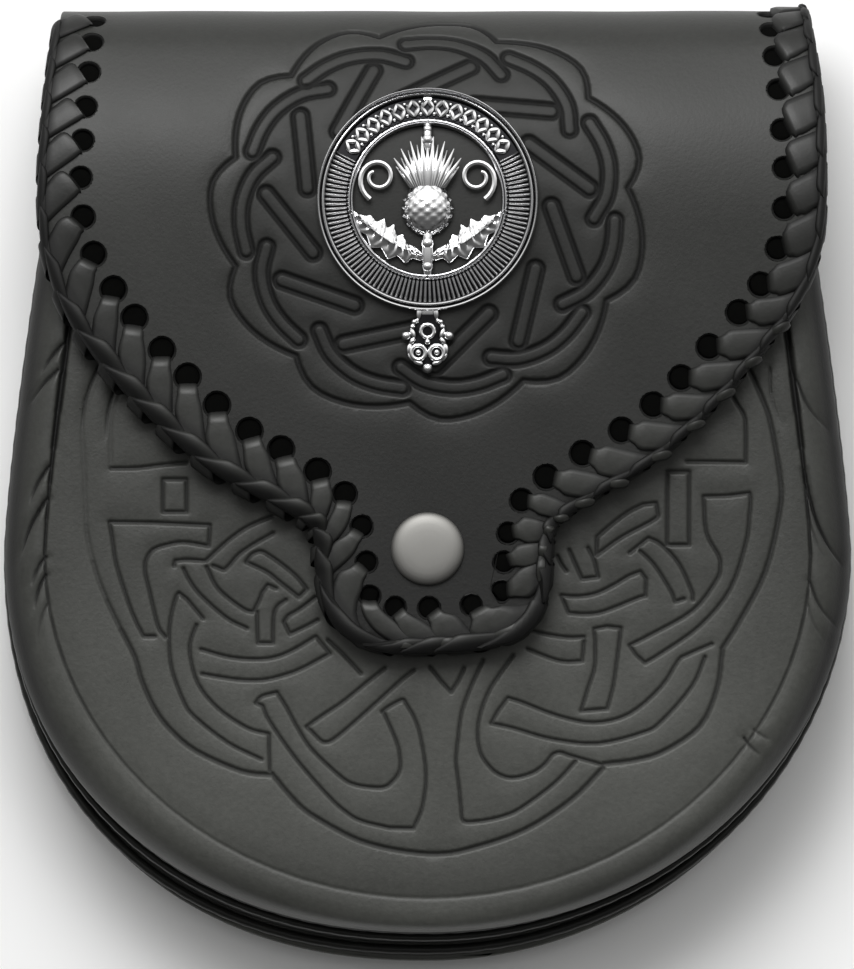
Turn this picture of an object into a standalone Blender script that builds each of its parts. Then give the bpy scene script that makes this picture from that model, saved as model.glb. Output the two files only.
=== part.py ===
"""Sporran pouch: a moulded black leather pouch with a thong-laced flap, a press stud and a cast badge.

It lies on its back, as it would on a table. X runs across it, Y up it towards the fold of the flap, and Z out
of its front. The floor is Z = 0, under the two belt loops. Sizes are real ones, in millimetres until MM turns
them into metres.
"""

import math

import bmesh
import bpy
from mathutils import Vector
from mathutils.geometry import delaunay_2d_cdt

MM = 0.001
GAP = 0.3  # between pieces that touch

# The pouch outline: an ellipse below WIDEST_Y, and sides that draw in above it.
WIDEST_Y = -13.0
MOUTH_Y = 70.0
MOUTH_DRAW_IN = 10.9
DRAW_IN_POWER = 1.3
SIDE_COLUMNS = 7
FOOT_COLUMNS = 22

# Heights above the floor.
BACK_Z = 7.0
BACK_LEATHER = 2.4
FACE_Z = 36.5
FACE_DOME = 0.8
MOUTH_THINNING = 0.12  # share of its depth that the pouch loses from THINNING_Y to its mouth
THINNING_Y = 15.0
SHELL_LEATHER = 2.0
GUSSET_LEATHER = 1.8

# The flap: flat front, a slow bend, a tight fold over the top, and a lap down the back.
FLAP_LEATHER = 2.4
FLAP_FRONT_Z = 42.3
FLAP_BACK_Z = BACK_Z - GAP - FLAP_LEATHER
BEND_START_Y = 58.4
BEND_RADIUS = 44.0
BEND_ANGLE = math.radians(35)
FLAP_CAMBER = 1.2
FLAP_HALF = 74.0
FLAP_LAP = 18.0
LAP_HALF = 60.0
LAP_CORNER = 10.0
LAP_EDGE = ((68.0, 114.0), (64.2, 124.0), (61.0, 132.0))  # (half width, up), where the fold narrows

# The lacing: a leather thong through punched holes, round the edge of the flap.
HOLE_COUNT = 43
HOLE_RADIUS = 2.1
HOLE_SIDES = 7
TONGUE_CROWDING = 1.1
LACE_START_LEFT = 95.5  # up the flap, measured over the bend
LACE_START_RIGHT = 98.4
LACE = 1.1
LIP_TO_HOLE = 2.6  # from the lacing's inner side to the line of holes
RUNG_ALONG = 2.2
RUNG_ACROSS = 2.0
LACE_BULGE = 3.2  # of edge between the lacing's sections
LIP_ENDS = (0, 6)  # the sides of the lacing's section that face the holes

# Press stud, badge and belt loops.
STUD_Y = -12.1
STUD_CAP_RADIUS = 7.0
BADGE_Y = 55.2
BADGE_RADIUS = 21.0
BADGE_INNER_RADIUS = 15.4
BADGE_POST_UPS = (BADGE_Y - 18.2, BADGE_Y + 18.2)  # two plain posts behind the ring, through the flap
LOOP_X = 34.0
LOOP_WIDTH = 24.0
LOOP_LEATHER = 2.2
LOOP_MIDDLE_Y = 2.0
LOOP_FLAT = 64.0
LOOP_RAMP = 6.0
LOOP_FOOT = 11.0

# The line of the lace holes, and how far outside it the flap's edge is, from the fold to the tongue's tip.
HOLE_LINE = (
    # up, left, right, left_margin, right_margin
    (104.0, 62.6, 64.2, 6.6, 6.6),
    (90.0, 63.4, 65.2, 6.7, 6.7),
    (74.0, 64.8, 66.8, 7.1, 7.2),
    (58.0, 65.9, 67.8, 7.1, 6.8),
    (47.0, 64.6, 67.0, 7.8, 7.0),
    (38.0, 60.2, 63.2, 9.2, 7.2),
    (29.0, 53.4, 55.8, 9.7, 7.5),
    (20.0, 45.0, 47.8, 9.7, 7.6),
    (11.5, 35.6, 38.4, 9.5, 7.6),
    (5.6, 25.8, 28.8, 9.0, 7.6),
    (0.8, 18.4, 21.6, 8.5, 7.5),
    (-3.6, 14.3, 17.4, 8.2, 7.4),
    (-9.0, 12.2, 15.3, 8.5, 7.8),
    (-14.8, 11.6, 14.5, 8.8, 8.2),
    (-19.6, 11.5, 14.3, 8.0, 7.8),
    (-22.4, 9.4, 11.4, 7.8, 7.6),
    (-23.4, 3.0, -3.0, 7.8, 7.8),
)

# The moulded front: outlines from the seam at its back edge, over the shoulder, to its flat face.
FRONT_ROWS = (
    # half_width, foot_depth, left_power, height
    (78.4, 71.0, 2.18, 19.6),
    (79.6, 69.9, 2.16, 23.0),
    (80.3, 70.3, 2.14, 27.5),
    (79.6, 69.6, 2.12, 31.6),
    (77.4, 68.0, 2.06, 34.8),
    (74.8, 66.6, 2.0, 36.2),
    (72.8, 65.4, 2.0, 35.6),
    (71.8, 64.4, 2.0, 36.3),
    (69.2, 61.8, 2.0, 36.5),
)
SHOULDER_ROWS = (2, 3, 4, 5)
CREASE_ROW = 6
FACE_SHARES = (0.6, 0.0)  # of the last row, where the flat face is divided

# Folds of the shoulder at the pouch's sides, and how far the long crease there sinks.
SIDE_FOLDS = (
    # side, up, depth, half_width
    (-1, 24.0, 1.3, 3.2),
    (-1, 3.0, 1.2, 3.0),
    (-1, -11.0, 1.4, 3.4),
    (1, 14.0, 1.1, 3.4),
    (1, -3.0, 1.3, 3.0),
    (1, -22.0, 0.8, 3.2),
)
SIDE_CREASE_DEPTH = 1.8
SIDE_CREASE_END_Y = -45.0

GUSSET_ROWS = (
    # half_width, foot_depth, left_power, height
    (78.2, 70.8, 2.18, 19.3),
    (78.7, 72.0, 2.2, 17.0),
    (78.9, 73.2, 2.22, 14.6),
    (78.6, 73.9, 2.24, 12.2),
    (78.2, 74.0, 2.25, 9.7),
)
WELTS = (
    # name, half_width, foot_depth, left_power, height, radius
    ("front_welt", 79.5, 72.1, 2.18, 19.4, 0.7),
    ("back_welt", 79.6, 75.3, 2.25, 10.65, 0.9),
)
PANEL = (79.2, 77.4, 2.25)

LEATHER_BLACK = (0.028, 0.028, 0.027)
LACE_BLACK = (0.034, 0.034, 0.033)
EDGE_BLACK = (0.018, 0.018, 0.018)
NICKEL = (0.56, 0.56, 0.54)
PEWTER = (0.78, 0.78, 0.79)


def clear_scene():
    for thing in list(bpy.data.objects):
        bpy.data.objects.remove(thing)


def material(name, colour, roughness, metallic=0.0):
    found = bpy.data.materials.new(name)
    found.use_nodes = True
    shader = found.node_tree.nodes["Principled BSDF"]
    shader.inputs["Base Color"].default_value = (*colour, 1)
    shader.inputs["Roughness"].default_value = roughness
    shader.inputs["Metallic"].default_value = metallic
    return found


def face_outwards(bm):
    """Turns the faces of a closed form outwards."""
    bmesh.ops.recalc_face_normals(bm, faces=bm.faces)
    if bm.calc_volume(signed=True) < 0:
        bmesh.ops.reverse_faces(bm, faces=bm.faces)


def make_object(name, bm, finish, smooth_deg=40):
    """The bmesh, in millimetres, as an object in metres."""
    bmesh.ops.scale(bm, vec=(MM, MM, MM), verts=bm.verts)
    mesh = bpy.data.meshes.new(name)
    bm.to_mesh(mesh)
    bm.free()
    mesh.shade_smooth()
    mesh.set_sharp_from_angle(angle=math.radians(smooth_deg))
    if finish:
        mesh.materials.append(finish)
    made = bpy.data.objects.new(name, mesh)
    bpy.context.scene.collection.objects.link(made)
    return made


def make_helper(name, bm):
    """A solid that is only an operand of a Boolean."""
    made = make_object(name, bm, None)
    made.hide_render = True
    made.display_type = "WIRE"
    return made


def add_boolean(target, other, operation):
    step = target.modifiers.new(f"{operation} {other.name}", "BOOLEAN")
    step.operation = operation
    step.object = other


def smoothstep(low, high, value):
    share = min(1.0, max(0.0, (value - low) / (high - low)))
    return share * share * (3 - 2 * share)


def bump(distance, half_width):
    """1 at no distance, and 0 from half_width on."""
    return 1 - smoothstep(0, half_width, abs(distance))


# ---- the pouch ----


def draw_in(y):
    """How much narrower than at its widest the pouch is at this height."""
    share = max(0.0, (y - WIDEST_Y) / (MOUTH_Y - WIDEST_Y))
    return MOUTH_DRAW_IN * share**DRAW_IN_POWER


def pouch_outline(half_width, foot_depth, left_power, top=MOUTH_Y):
    """Points round the pouch, from its left top corner, under its foot, to its right top corner.

    The foot is an ellipse on the right, and a slightly fuller curve of a higher power on the left.
    """
    left = []
    for step in range(SIDE_COLUMNS):
        y = top + (WIDEST_Y - top) * step / SIDE_COLUMNS
        left.append((-(half_width - draw_in(y)), y))
    foot = []
    for step in range(FOOT_COLUMNS + 1):
        angle = math.pi * step / FOOT_COLUMNS
        across, down = math.cos(angle), math.sin(angle)
        bend = 2 / left_power if across > 0 else 1.0
        across = math.copysign(abs(across) ** bend, across)
        foot.append((-half_width * across, WIDEST_Y - foot_depth * abs(down) ** bend))
    right = [(-x, y) for x, y in reversed(left)]
    return left + foot + right


def thinned(y, z):
    """A height after the pouch has thinned towards its mouth."""
    loss = MOUTH_THINNING * smoothstep(THINNING_Y, MOUTH_Y, y)
    floor = BACK_Z + BACK_LEATHER
    return floor + (z - floor) * (1 - loss)


def sheet_bmesh(rows):
    """A sheet of quads through rows of points, each as long as the last."""
    bm = bmesh.new()
    lines = []
    for row in rows:
        lines.append([bm.verts.new(point) for point in row])
    for first, second in zip(lines, lines[1:]):
        for a, b, c, d in zip(first, first[1:], second[1:], second):
            bm.faces.new((a, b, c, d))
    return bm


def shoulder_drop(row, x, y):
    """How far the shoulder's folds and the long side crease sink a point of the moulded front."""
    drop = 0.0
    if row in SHOULDER_ROWS:
        slant = 2.2 * (row - SHOULDER_ROWS[0])  # each fold runs down and outwards from the crease
        for side, up, depth, half_width in SIDE_FOLDS:
            if side * x > 0:
                drop += depth * bump(y - up - slant, half_width)
    if row == CREASE_ROW:
        drop += SIDE_CREASE_DEPTH * smoothstep(SIDE_CREASE_END_Y, WIDEST_Y, y)
    return drop


def make_pouch_front(leather):
    rows = []
    for index, (half_width, foot_depth, left_power, height) in enumerate(FRONT_ROWS):
        points = []
        for x, y in pouch_outline(half_width, foot_depth, left_power):
            drop = shoulder_drop(index, x, y)
            points.append((x, y, thinned(y, height) - drop))
        rows.append(points)
    half_width, foot_depth, left_power, height = FRONT_ROWS[-1]
    for share in FACE_SHARES:
        points = []
        for x, y in pouch_outline(half_width, foot_depth, left_power):
            foot = min(0.0, y - WIDEST_Y)
            inner_y = y - foot * (1 - share)
            points.append((x * share, inner_y, thinned(inner_y, height + FACE_DOME * (1 - share**2))))
        rows.append(points)
    bm = sheet_bmesh(rows)
    bmesh.ops.remove_doubles(bm, verts=bm.verts, dist=0.01)
    bmesh.ops.dissolve_degenerate(bm, edges=bm.edges, dist=0.001)
    bmesh.ops.recalc_face_normals(bm, faces=bm.faces)
    if sum(face.normal.z for face in bm.faces) < 0:
        bmesh.ops.reverse_faces(bm, faces=bm.faces)
    front = make_object("pouch_front", bm, leather)
    add_wall(front, SHELL_LEATHER)
    rivet_hole = make_helper("stud_rivet_hole", disc_bmesh((0, STUD_Y), 1.9, FACE_Z - 6, FACE_Z + 4, 12))
    add_boolean(front, rivet_hole, "DIFFERENCE")
    return front


def add_wall(sheet, thickness):
    wall = sheet.modifiers.new("wall", "SOLIDIFY")
    wall.thickness = thickness * MM
    wall.offset = -1
    wall.use_even_offset = True


def make_gusset(leather):
    rows = []
    for half_width, foot_depth, left_power, height in GUSSET_ROWS:
        outline = pouch_outline(half_width, foot_depth, left_power)
        rows.append([(x, y, thinned(y, height)) for x, y in outline])
    bm = sheet_bmesh(rows)
    bmesh.ops.recalc_face_normals(bm, faces=bm.faces)
    lowest = min(bm.faces, key=lambda face: face.calc_center_median().y)
    if lowest.normal.y > 0:
        bmesh.ops.reverse_faces(bm, faces=bm.faces)
    gusset = make_object("gusset", bm, leather)
    add_wall(gusset, GUSSET_LEATHER)
    return gusset


def make_welt(finish, name, half_width, foot_depth, left_power, height, radius):
    """A piping bead round the pouch."""
    curve = bpy.data.curves.new(name, "CURVE")
    curve.dimensions = "3D"
    curve.bevel_depth = radius * MM
    curve.bevel_resolution = 1
    curve.use_fill_caps = True
    points = pouch_outline(half_width, foot_depth, left_power)
    line = curve.splines.new("POLY")
    line.points.add(len(points) - 1)
    for spot, (x, y) in zip(line.points, points):
        spot.co = (x * MM, y * MM, thinned(y, height) * MM, 1)
    curve.materials.append(finish)
    made = bpy.data.objects.new(name, curve)
    bpy.context.scene.collection.objects.link(made)
    return made


def make_back_panel(leather):
    top = 75.0
    corner = 12.0
    points = pouch_outline(*PANEL, top - corner)
    half = points[-1][0]
    for step in range(1, 6):
        angle = math.pi / 2 * step / 6
        points.append((half - corner * (1 - math.cos(angle)), top - corner * (1 - math.sin(angle))))
    points.append((half - corner, top))
    points += [(-x, y) for x, y in reversed(points[-6:])]
    bm = bmesh.new()
    bm.faces.new([bm.verts.new((x, y, BACK_Z)) for x, y in points])
    raised = bmesh.ops.extrude_face_region(bm, geom=bm.faces[:])
    verts = [item for item in raised["geom"] if isinstance(item, bmesh.types.BMVert)]
    bmesh.ops.translate(bm, verts=verts, vec=(0, 0, BACK_LEATHER))
    bmesh.ops.triangulate(bm, faces=bm.faces)
    bmesh.ops.recalc_face_normals(bm, faces=bm.faces)
    return make_object("back_panel", bm, leather)


# ---- the flap ----


def fold_radius():
    drop = FLAP_FRONT_Z - FLAP_BACK_Z - BEND_RADIUS * (1 - math.cos(BEND_ANGLE))
    return drop / (1 + math.cos(BEND_ANGLE))


def flap_point(x, up, out):
    """The place of a point of the flat flap: x across, up along its middle line, out from its outer face."""
    bend_end = BEND_START_Y + BEND_RADIUS * BEND_ANGLE
    fold = fold_radius()
    fold_end = bend_end + fold * (math.pi - BEND_ANGLE)
    edge_y = BEND_START_Y + BEND_RADIUS * math.sin(BEND_ANGLE)
    edge_z = FLAP_FRONT_Z - BEND_RADIUS * (1 - math.cos(BEND_ANGLE))
    if up <= BEND_START_Y:
        angle, y, z = 0.0, up, FLAP_FRONT_Z
    elif up <= bend_end:
        angle = (up - BEND_START_Y) / BEND_RADIUS
        y = BEND_START_Y + BEND_RADIUS * math.sin(angle)
        z = FLAP_FRONT_Z - BEND_RADIUS * (1 - math.cos(angle))
    else:
        angle = BEND_ANGLE + (min(up, fold_end) - bend_end) / fold
        y = edge_y + fold * (math.sin(angle) - math.sin(BEND_ANGLE)) - max(0.0, up - fold_end)
        z = edge_z - fold * (math.cos(BEND_ANGLE) - math.cos(angle))
    fade = 1 - smoothstep(bend_end - 10, bend_end + 15, up)
    out -= FLAP_CAMBER * fade * (abs(x) / FLAP_HALF) ** 3
    return Vector((x, y + out * math.sin(angle), z + out * math.cos(angle)))


def flap_length():
    fold_end = BEND_START_Y + BEND_RADIUS * BEND_ANGLE + fold_radius() * (math.pi - BEND_ANGLE)
    return fold_end + FLAP_LAP


def smooth_path(points, steps):
    """A Catmull-Rom curve through the points, with so many steps from each to the next."""
    path = []
    padded = [points[0] * 2 - points[1], *points, points[-1] * 2 - points[-2]]
    for before, start, end, after in zip(padded, padded[1:], padded[2:], padded[3:]):
        for step in range(steps):
            t = step / steps
            path.append(
                0.5
                * (
                    start * 2
                    + (end - before) * t
                    + (before * 2 - start * 5 + end * 4 - after) * t**2
                    + (start * 3 - before - end * 3 + after) * t**3
                )
            )
    path.append(points[-1].copy())
    return path


def hole_line(steps):
    """The line of holes, flat, from its left top, round the tongue, to its right top: (x, up, margin)."""
    left = [Vector((-left, up, margin)) for up, left, _, margin, _ in HOLE_LINE]
    right = [Vector((right, up, margin)) for up, _, right, _, margin in reversed(HOLE_LINE[:-1])]
    return smooth_path(left + right, steps)


def spot_on(path, place):
    """At a whole or broken place in the line of holes: the point, the direction inwards, and the margin."""
    index = min(int(place), len(path) - 2)
    before, after = path[max(index - 1, 0)], path[min(index + 2, len(path) - 1)]
    share = place - index
    along = (path[index + 1] - before).lerp(after - path[index], share)
    spot = path[index].lerp(path[index + 1], share)
    return spot.xy, Vector((-along.y, along.x)).normalized(), spot.z


def laced_edge(steps):
    path = hole_line(steps)
    spots = [spot_on(path, place) for place in range(len(path))]
    return [point - aim * margin for point, aim, margin in spots]


def hole_places(path):
    """Where the lace holes lie in their line, evenly spaced but a little closer round the tongue."""
    first = next(i for i, point in enumerate(path) if point.y <= LACE_START_LEFT)
    last = max(i for i, point in enumerate(path) if point.y <= LACE_START_RIGHT)
    lengths = [0.0]
    for a, b in zip(path[first:last], path[first + 1 : last + 1]):
        crowding = TONGUE_CROWDING if a.y < 0 else 1.0
        lengths.append(lengths[-1] + (b.xy - a.xy).length * crowding)
    places = []
    for number in range(HOLE_COUNT):
        wanted = lengths[-1] * number / (HOLE_COUNT - 1)
        index = max(i for i, length in enumerate(lengths[:-1]) if length <= wanted + 1e-9)
        share = (wanted - lengths[index]) / (lengths[index + 1] - lengths[index])
        places.append(first + index + min(1.0, share))
    return places


def holes():
    """Each lace hole's centre, flat, with the direction inwards from the edge there."""
    path = hole_line(12)
    return [spot_on(path, place)[:2] for place in hole_places(path)]


def flap_outline():
    """The whole outline of the flat flap: its laced edge, and its plain lap with round corners."""
    end = flap_length()
    lap = [Vector((half, up)) for half, up in LAP_EDGE]
    for step in range(4):
        angle = math.pi / 2 * step / 3
        half = LAP_HALF - LAP_CORNER * (1 - math.cos(angle))
        lap.append(Vector((half, end - LAP_CORNER * (1 - math.sin(angle)))))
    return laced_edge(3) + lap + [Vector((-point.x, point.y)) for point in reversed(lap)]


def ring_points(centre, radius, sides):
    turn = [2 * math.pi * (i + 0.5) / sides for i in range(sides)]
    return [centre + Vector((math.cos(a), math.sin(a))) * radius for a in turn]


def inside(point, loop):
    found = False
    for a, b in zip(loop, loop[1:] + loop[:1]):
        if (a.y > point.y) != (b.y > point.y):
            found ^= point.x < (b.x - a.x) * (point.y - a.y) / (b.y - a.y) + a.x
    return found


def filling(outline, cuts):
    """Points inside the outline, clear of it and of the cuts, closer together over the fold."""
    points = []
    up = -24.0
    while up < flap_length() - 3:
        for step in range(-4, 5):
            point = Vector((step * 17.0, up))
            near_edge = min((point - other).length for other in outline) < 4.5
            near_cut = any((point - centre).length < radius + 2.5 for centre, radius in cuts)
            if inside(point, outline) and not near_edge and not near_cut:
                points.append(point)
        up += 14.0 if up < BEND_START_Y - 14 else 6.6
    return points


def make_flap(leather):
    outline = flap_outline()
    cuts = [(centre, HOLE_RADIUS) for centre, _ in holes()]
    cuts.append((Vector((0, STUD_Y)), 2.3))
    cuts += [(Vector((0, up)), 1.4) for up in BADGE_POST_UPS]
    loops = [outline] + [ring_points(centre, radius, HOLE_SIDES) for centre, radius in cuts]
    points, edges = [], []
    for loop in loops:
        first = len(points)
        points += loop
        edges += [(first + i, first + (i + 1) % len(loop)) for i in range(len(loop))]
    points += filling(outline, cuts)
    flat, _, triangles, *_ = delaunay_2d_cdt(points, edges, [], 1, 1e-4)
    bm = bmesh.new()
    verts = [bm.verts.new((point.x, point.y, 0)) for point in flat]
    for corners in triangles:
        middle = sum((flat[i] for i in corners), Vector((0, 0))) / len(corners)
        in_cut = any((middle - centre).length < radius * 0.9 for centre, radius in cuts)
        if inside(middle, outline) and not in_cut:
            bm.faces.new([verts[i] for i in corners])
    lone = [vert for vert in bm.verts if not vert.link_faces]
    bmesh.ops.delete(bm, geom=lone, context="VERTS")
    lowered = bmesh.ops.extrude_face_region(bm, geom=bm.faces[:])
    under = [item for item in lowered["geom"] if isinstance(item, bmesh.types.BMVert)]
    bmesh.ops.translate(bm, verts=under, vec=(0, 0, -FLAP_LEATHER))
    for vert in bm.verts:
        vert.co = flap_point(*vert.co)
    bmesh.ops.recalc_face_normals(bm, faces=bm.faces)
    return make_object("flap", bm, leather, 50)


# ---- the lacing ----


def lace_section(swell, reach):
    """The lacing's section where a stitch swells by this share: (in from the edge, out from the face)."""
    thick = LACE * (0.8 + 0.35 * swell)
    front = GAP + thick
    back = -FLAP_LEATHER - front
    outside = -GAP - thick
    reach -= 0.9 * (1 - swell)
    return (
        (reach, GAP),
        (reach, front - 0.2),
        (0.6, front),
        (outside, GAP),
        (outside, -FLAP_LEATHER - GAP),
        (0.6, back),
        (reach, back + 0.2),
        (reach, -FLAP_LEATHER - GAP),
        (-GAP, -FLAP_LEATHER - GAP),
        (-GAP, GAP),
    )


def lace_loop(bm, spot, aside, swell):
    """The section of the lacing at a spot on the line of holes, aside along it."""
    point, aim, margin = spot
    along = Vector((aim.y, -aim.x))
    loop = []
    for inset, out in lace_section(swell, margin - LIP_TO_HOLE):
        flat = point + aim * (inset - margin) + along * aside
        loop.append(bm.verts.new(flap_point(flat.x, flat.y, out)))
    return loop


def add_rung(bm, first, second, centre, aim):
    """The thong between the lacing's lips, through one hole: over, down and back under."""
    along = Vector((aim.y, -aim.x))
    corners = {}
    for side, loop in ((-1, first), (1, second)):
        for level, index in enumerate((1, 0, 7, 6)):  # the lips' corners, from the top one down
            out = (GAP + LACE * 0.7, GAP, -FLAP_LEATHER - GAP, -FLAP_LEATHER - GAP - LACE * 0.7)[level]
            corners[side, 0, level] = loop[index]
            for step, across in ((1, -RUNG_ACROSS / 2), (2, RUNG_ACROSS / 2)):
                flat = centre + aim * across + along * side * RUNG_ALONG / 2
                corners[side, step, level] = bm.verts.new(flap_point(flat.x, flat.y, out))
    for step in (0, 1):
        for upper in (0, 2):
            for side in (1, -1):
                square = [(side, step, upper), (side, step + 1, upper), (side, step + 1, upper + 1)]
                bm.faces.new([corners[key] for key in (*square, (side, step, upper + 1))])
        for level in (0, 3):
            bm.faces.new([corners[key] for key in strip(step, step + 1, level, level)])
    for level in (1, 2):
        bm.faces.new([corners[key] for key in strip(0, 1, level, level)])
    for low, high in ((0, 1), (1, 2), (2, 3)):
        bm.faces.new([corners[key] for key in strip(2, 2, low, high)])
    bm.faces.new([corners[key] for key in strip(1, 1, 1, 2)])
    for side in (1, -1):
        bm.faces.new([corners[side, step, level] for step, level in ((1, 1), (2, 1), (2, 2), (1, 2))])


def strip(step, next_step, level, next_level):
    """The corners of a face of a rung that runs from its one side to its other."""
    return (1, step, level), (-1, step, level), (-1, next_step, next_level), (1, next_step, next_level)


def make_lacing(thong):
    path = hole_line(12)
    places = hole_places(path)
    bm = bmesh.new()
    loops, hole_loops = [], []
    for place, next_place in zip(places, [*places[1:], None]):
        spot = spot_on(path, place)
        pair = [lace_loop(bm, spot, side * RUNG_ALONG / 2, 0.15) for side in (-1, 1)]
        add_rung(bm, *pair, *spot[:2])
        hole_loops.append(len(loops))
        loops += pair
        if next_place is None:
            break
        after = spot_on(path, next_place)
        arc = (after[0] - after[1] * after[2] - spot[0] + spot[1] * spot[2]).length
        bulges = max(1, round(arc / LACE_BULGE) - 1)
        for step in range(1, bulges + 1):
            share = step / (bulges + 1)
            between = spot_on(path, place + (next_place - place) * share)
            loops.append(lace_loop(bm, between, 0, math.sin(math.pi * share)))
    for number, (first, second) in enumerate(zip(loops, loops[1:])):
        for i in range(len(first)):
            j = (i + 1) % len(first)
            if not (number in hole_loops and i in LIP_ENDS):
                bm.faces.new((first[i], first[j], second[j], second[i]))
    bm.faces.new(loops[0])
    bm.faces.new(loops[-1])
    face_outwards(bm)
    return make_object("flap_lacing", bm, thong)


# ---- hardware ----


def disc_bmesh(centre, radius, low, high, sides):
    bm = bmesh.new()
    bmesh.ops.create_cone(
        bm, cap_ends=True, segments=sides, radius1=radius, radius2=radius, depth=high - low
    )
    bmesh.ops.translate(bm, verts=bm.verts, vec=(centre[0], centre[1], (low + high) / 2))
    return bm


def turned_bmesh(profile, centre, sides):
    """A solid of revolution about the Z axis through centre, from (radius, height) pairs."""
    bm = bmesh.new()
    verts = [bm.verts.new((radius, 0, height)) for radius, height in profile]
    edges = [bm.edges.new(pair) for pair in zip(verts, verts[1:])]
    bmesh.ops.spin(
        bm, geom=verts + edges, axis=(0, 0, 1), cent=(0, 0, 0), angle=2 * math.pi, steps=sides, use_merge=True
    )
    bmesh.ops.remove_doubles(bm, verts=bm.verts, dist=0.01)
    bmesh.ops.recalc_face_normals(bm, faces=bm.faces)
    bmesh.ops.translate(bm, verts=bm.verts, vec=(centre[0], centre[1], 0))
    return bm


def make_snap_cap(metal):
    """The domed cap over the flap, its rivet through it and the socket under it, pressed into one."""
    seat, under = FLAP_FRONT_Z + GAP, FLAP_FRONT_Z - FLAP_LEATHER - GAP
    profile = (
        (0, seat + 1.9),
        (2.6, seat + 1.8),
        (4.9, seat + 1.45),
        (6.4, seat + 0.9),
        (STUD_CAP_RADIUS, seat + 0.35),
        (STUD_CAP_RADIUS - 0.15, seat),
        (1.9, seat),
        (1.9, under),
        (4.9, under),
        (5.2, under - 0.3),
        (5.2, under - 1.0),
        (4.9, under - 1.2),
        (2.25, under - 1.2),
        (2.25, under - 0.3),
        (0, under - 0.3),
    )
    return make_object("snap_cap", turned_bmesh(profile, (0, STUD_Y), 20), metal)


def make_snap_stud(metal):
    """The stud on the pouch's face that the socket grips, with its rivet and the washer inside the pouch."""
    face = FACE_Z + FACE_DOME
    seat, under = face + GAP, face - SHELL_LEATHER - GAP - 0.2
    profile = (
        (0, seat + 1.4),
        (1.5, seat + 1.3),
        (1.9, seat + 1.0),
        (1.7, seat + 0.5),
        (4.7, seat + 0.45),
        (4.9, seat),
        (1.5, seat),
        (1.5, under),
        (4.4, under),
        (4.4, under - 0.8),
        (0, under - 0.8),
    )
    return make_object("snap_stud", turned_bmesh(profile, (0, STUD_Y), 16), metal)


def badge_part(bm):
    """The badge is drawn flat, about its own middle, and laid on the flap."""
    for vert in bm.verts:
        x, up, out = vert.co
        vert.co = flap_point(x, up + BADGE_Y, out + GAP)
    face_outwards(bm)
    return bm


def badge_ring_bmesh():
    profile = (
        (BADGE_RADIUS, 0.0),
        (BADGE_RADIUS, 1.9),
        (BADGE_RADIUS - 0.5, 2.3),
        (BADGE_RADIUS - 1.0, 1.9),
        (BADGE_RADIUS - 1.3, 1.5),
        (BADGE_INNER_RADIUS + 1.1, 1.5),
        (BADGE_INNER_RADIUS + 0.8, 1.9),
        (BADGE_INNER_RADIUS + 0.4, 2.1),
        (BADGE_INNER_RADIUS, 1.8),
        (BADGE_INNER_RADIUS, 0.0),
    )
    bm = bmesh.new()
    verts = [bm.verts.new((radius, 0, height)) for radius, height in profile]
    edges = [bm.edges.new(pair) for pair in zip(verts, verts[1:] + verts[:1])]
    bmesh.ops.spin(
        bm, geom=verts + edges, axis=(0, 0, 1), cent=(0, 0, 0), angle=2 * math.pi, steps=26, use_merge=True
    )
    return bm


def plate_bmesh(outline, low, high, ridge=None):
    """A plate with this outline, and a raised point in its middle where ridge gives its height."""
    bm = bmesh.new()
    base = bm.faces.new([bm.verts.new((x, y, low)) for x, y in outline])
    raised = bmesh.ops.extrude_face_region(bm, geom=[base])
    top = [item for item in raised["geom"] if isinstance(item, bmesh.types.BMVert)]
    bmesh.ops.translate(bm, verts=top, vec=(0, 0, high - low))
    if ridge:
        face = next(item for item in raised["geom"] if isinstance(item, bmesh.types.BMFace))
        poked = bmesh.ops.poke(bm, faces=[face])
        bmesh.ops.translate(bm, verts=poked["verts"], vec=(0, 0, ridge))
    return bm


def leaf_outline(side):
    """A thistle's long toothed leaf, from the stem out to the ring."""
    spine_length, teeth = 15.8, 5
    tip = []
    for edge in (1, -1):
        run = []
        for step in range(2 * teeth + 1):
            share = step / (2 * teeth)
            half = 2.9 * math.sin(math.pi * (0.1 + 0.9 * share)) * (1.0 if step % 2 else 0.55)
            run.append((share, edge * half))
        tip += run if edge == 1 else run[-2::-1]
    outline = []
    for share, half in tip:
        angle = math.radians(-28 + 84 * share)  # the spine bends upwards as it leaves the stem
        x = spine_length * share * math.cos(math.radians(14)) - half * math.sin(angle)
        y = -9.6 + 9.0 * share**1.7 + half * math.cos(angle)
        outline.append((side * x, y))
    return outline if side > 0 else outline[::-1]


def tuft_outline():
    """The thistle's crown of florets, a fan of points."""
    florets, valley, tip = 7, 6.4, 9.6
    outline = [(-2.6, 1.2)]
    for step in range(2 * florets - 1):
        angle = math.radians(148 - 116 * step / (2 * florets - 2))
        radius = valley if step % 2 else tip
        outline.append((radius * math.cos(angle) * 0.86, 1.8 + radius * math.sin(angle)))
    outline.append((2.6, 1.2))
    return outline[::-1]


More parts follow.
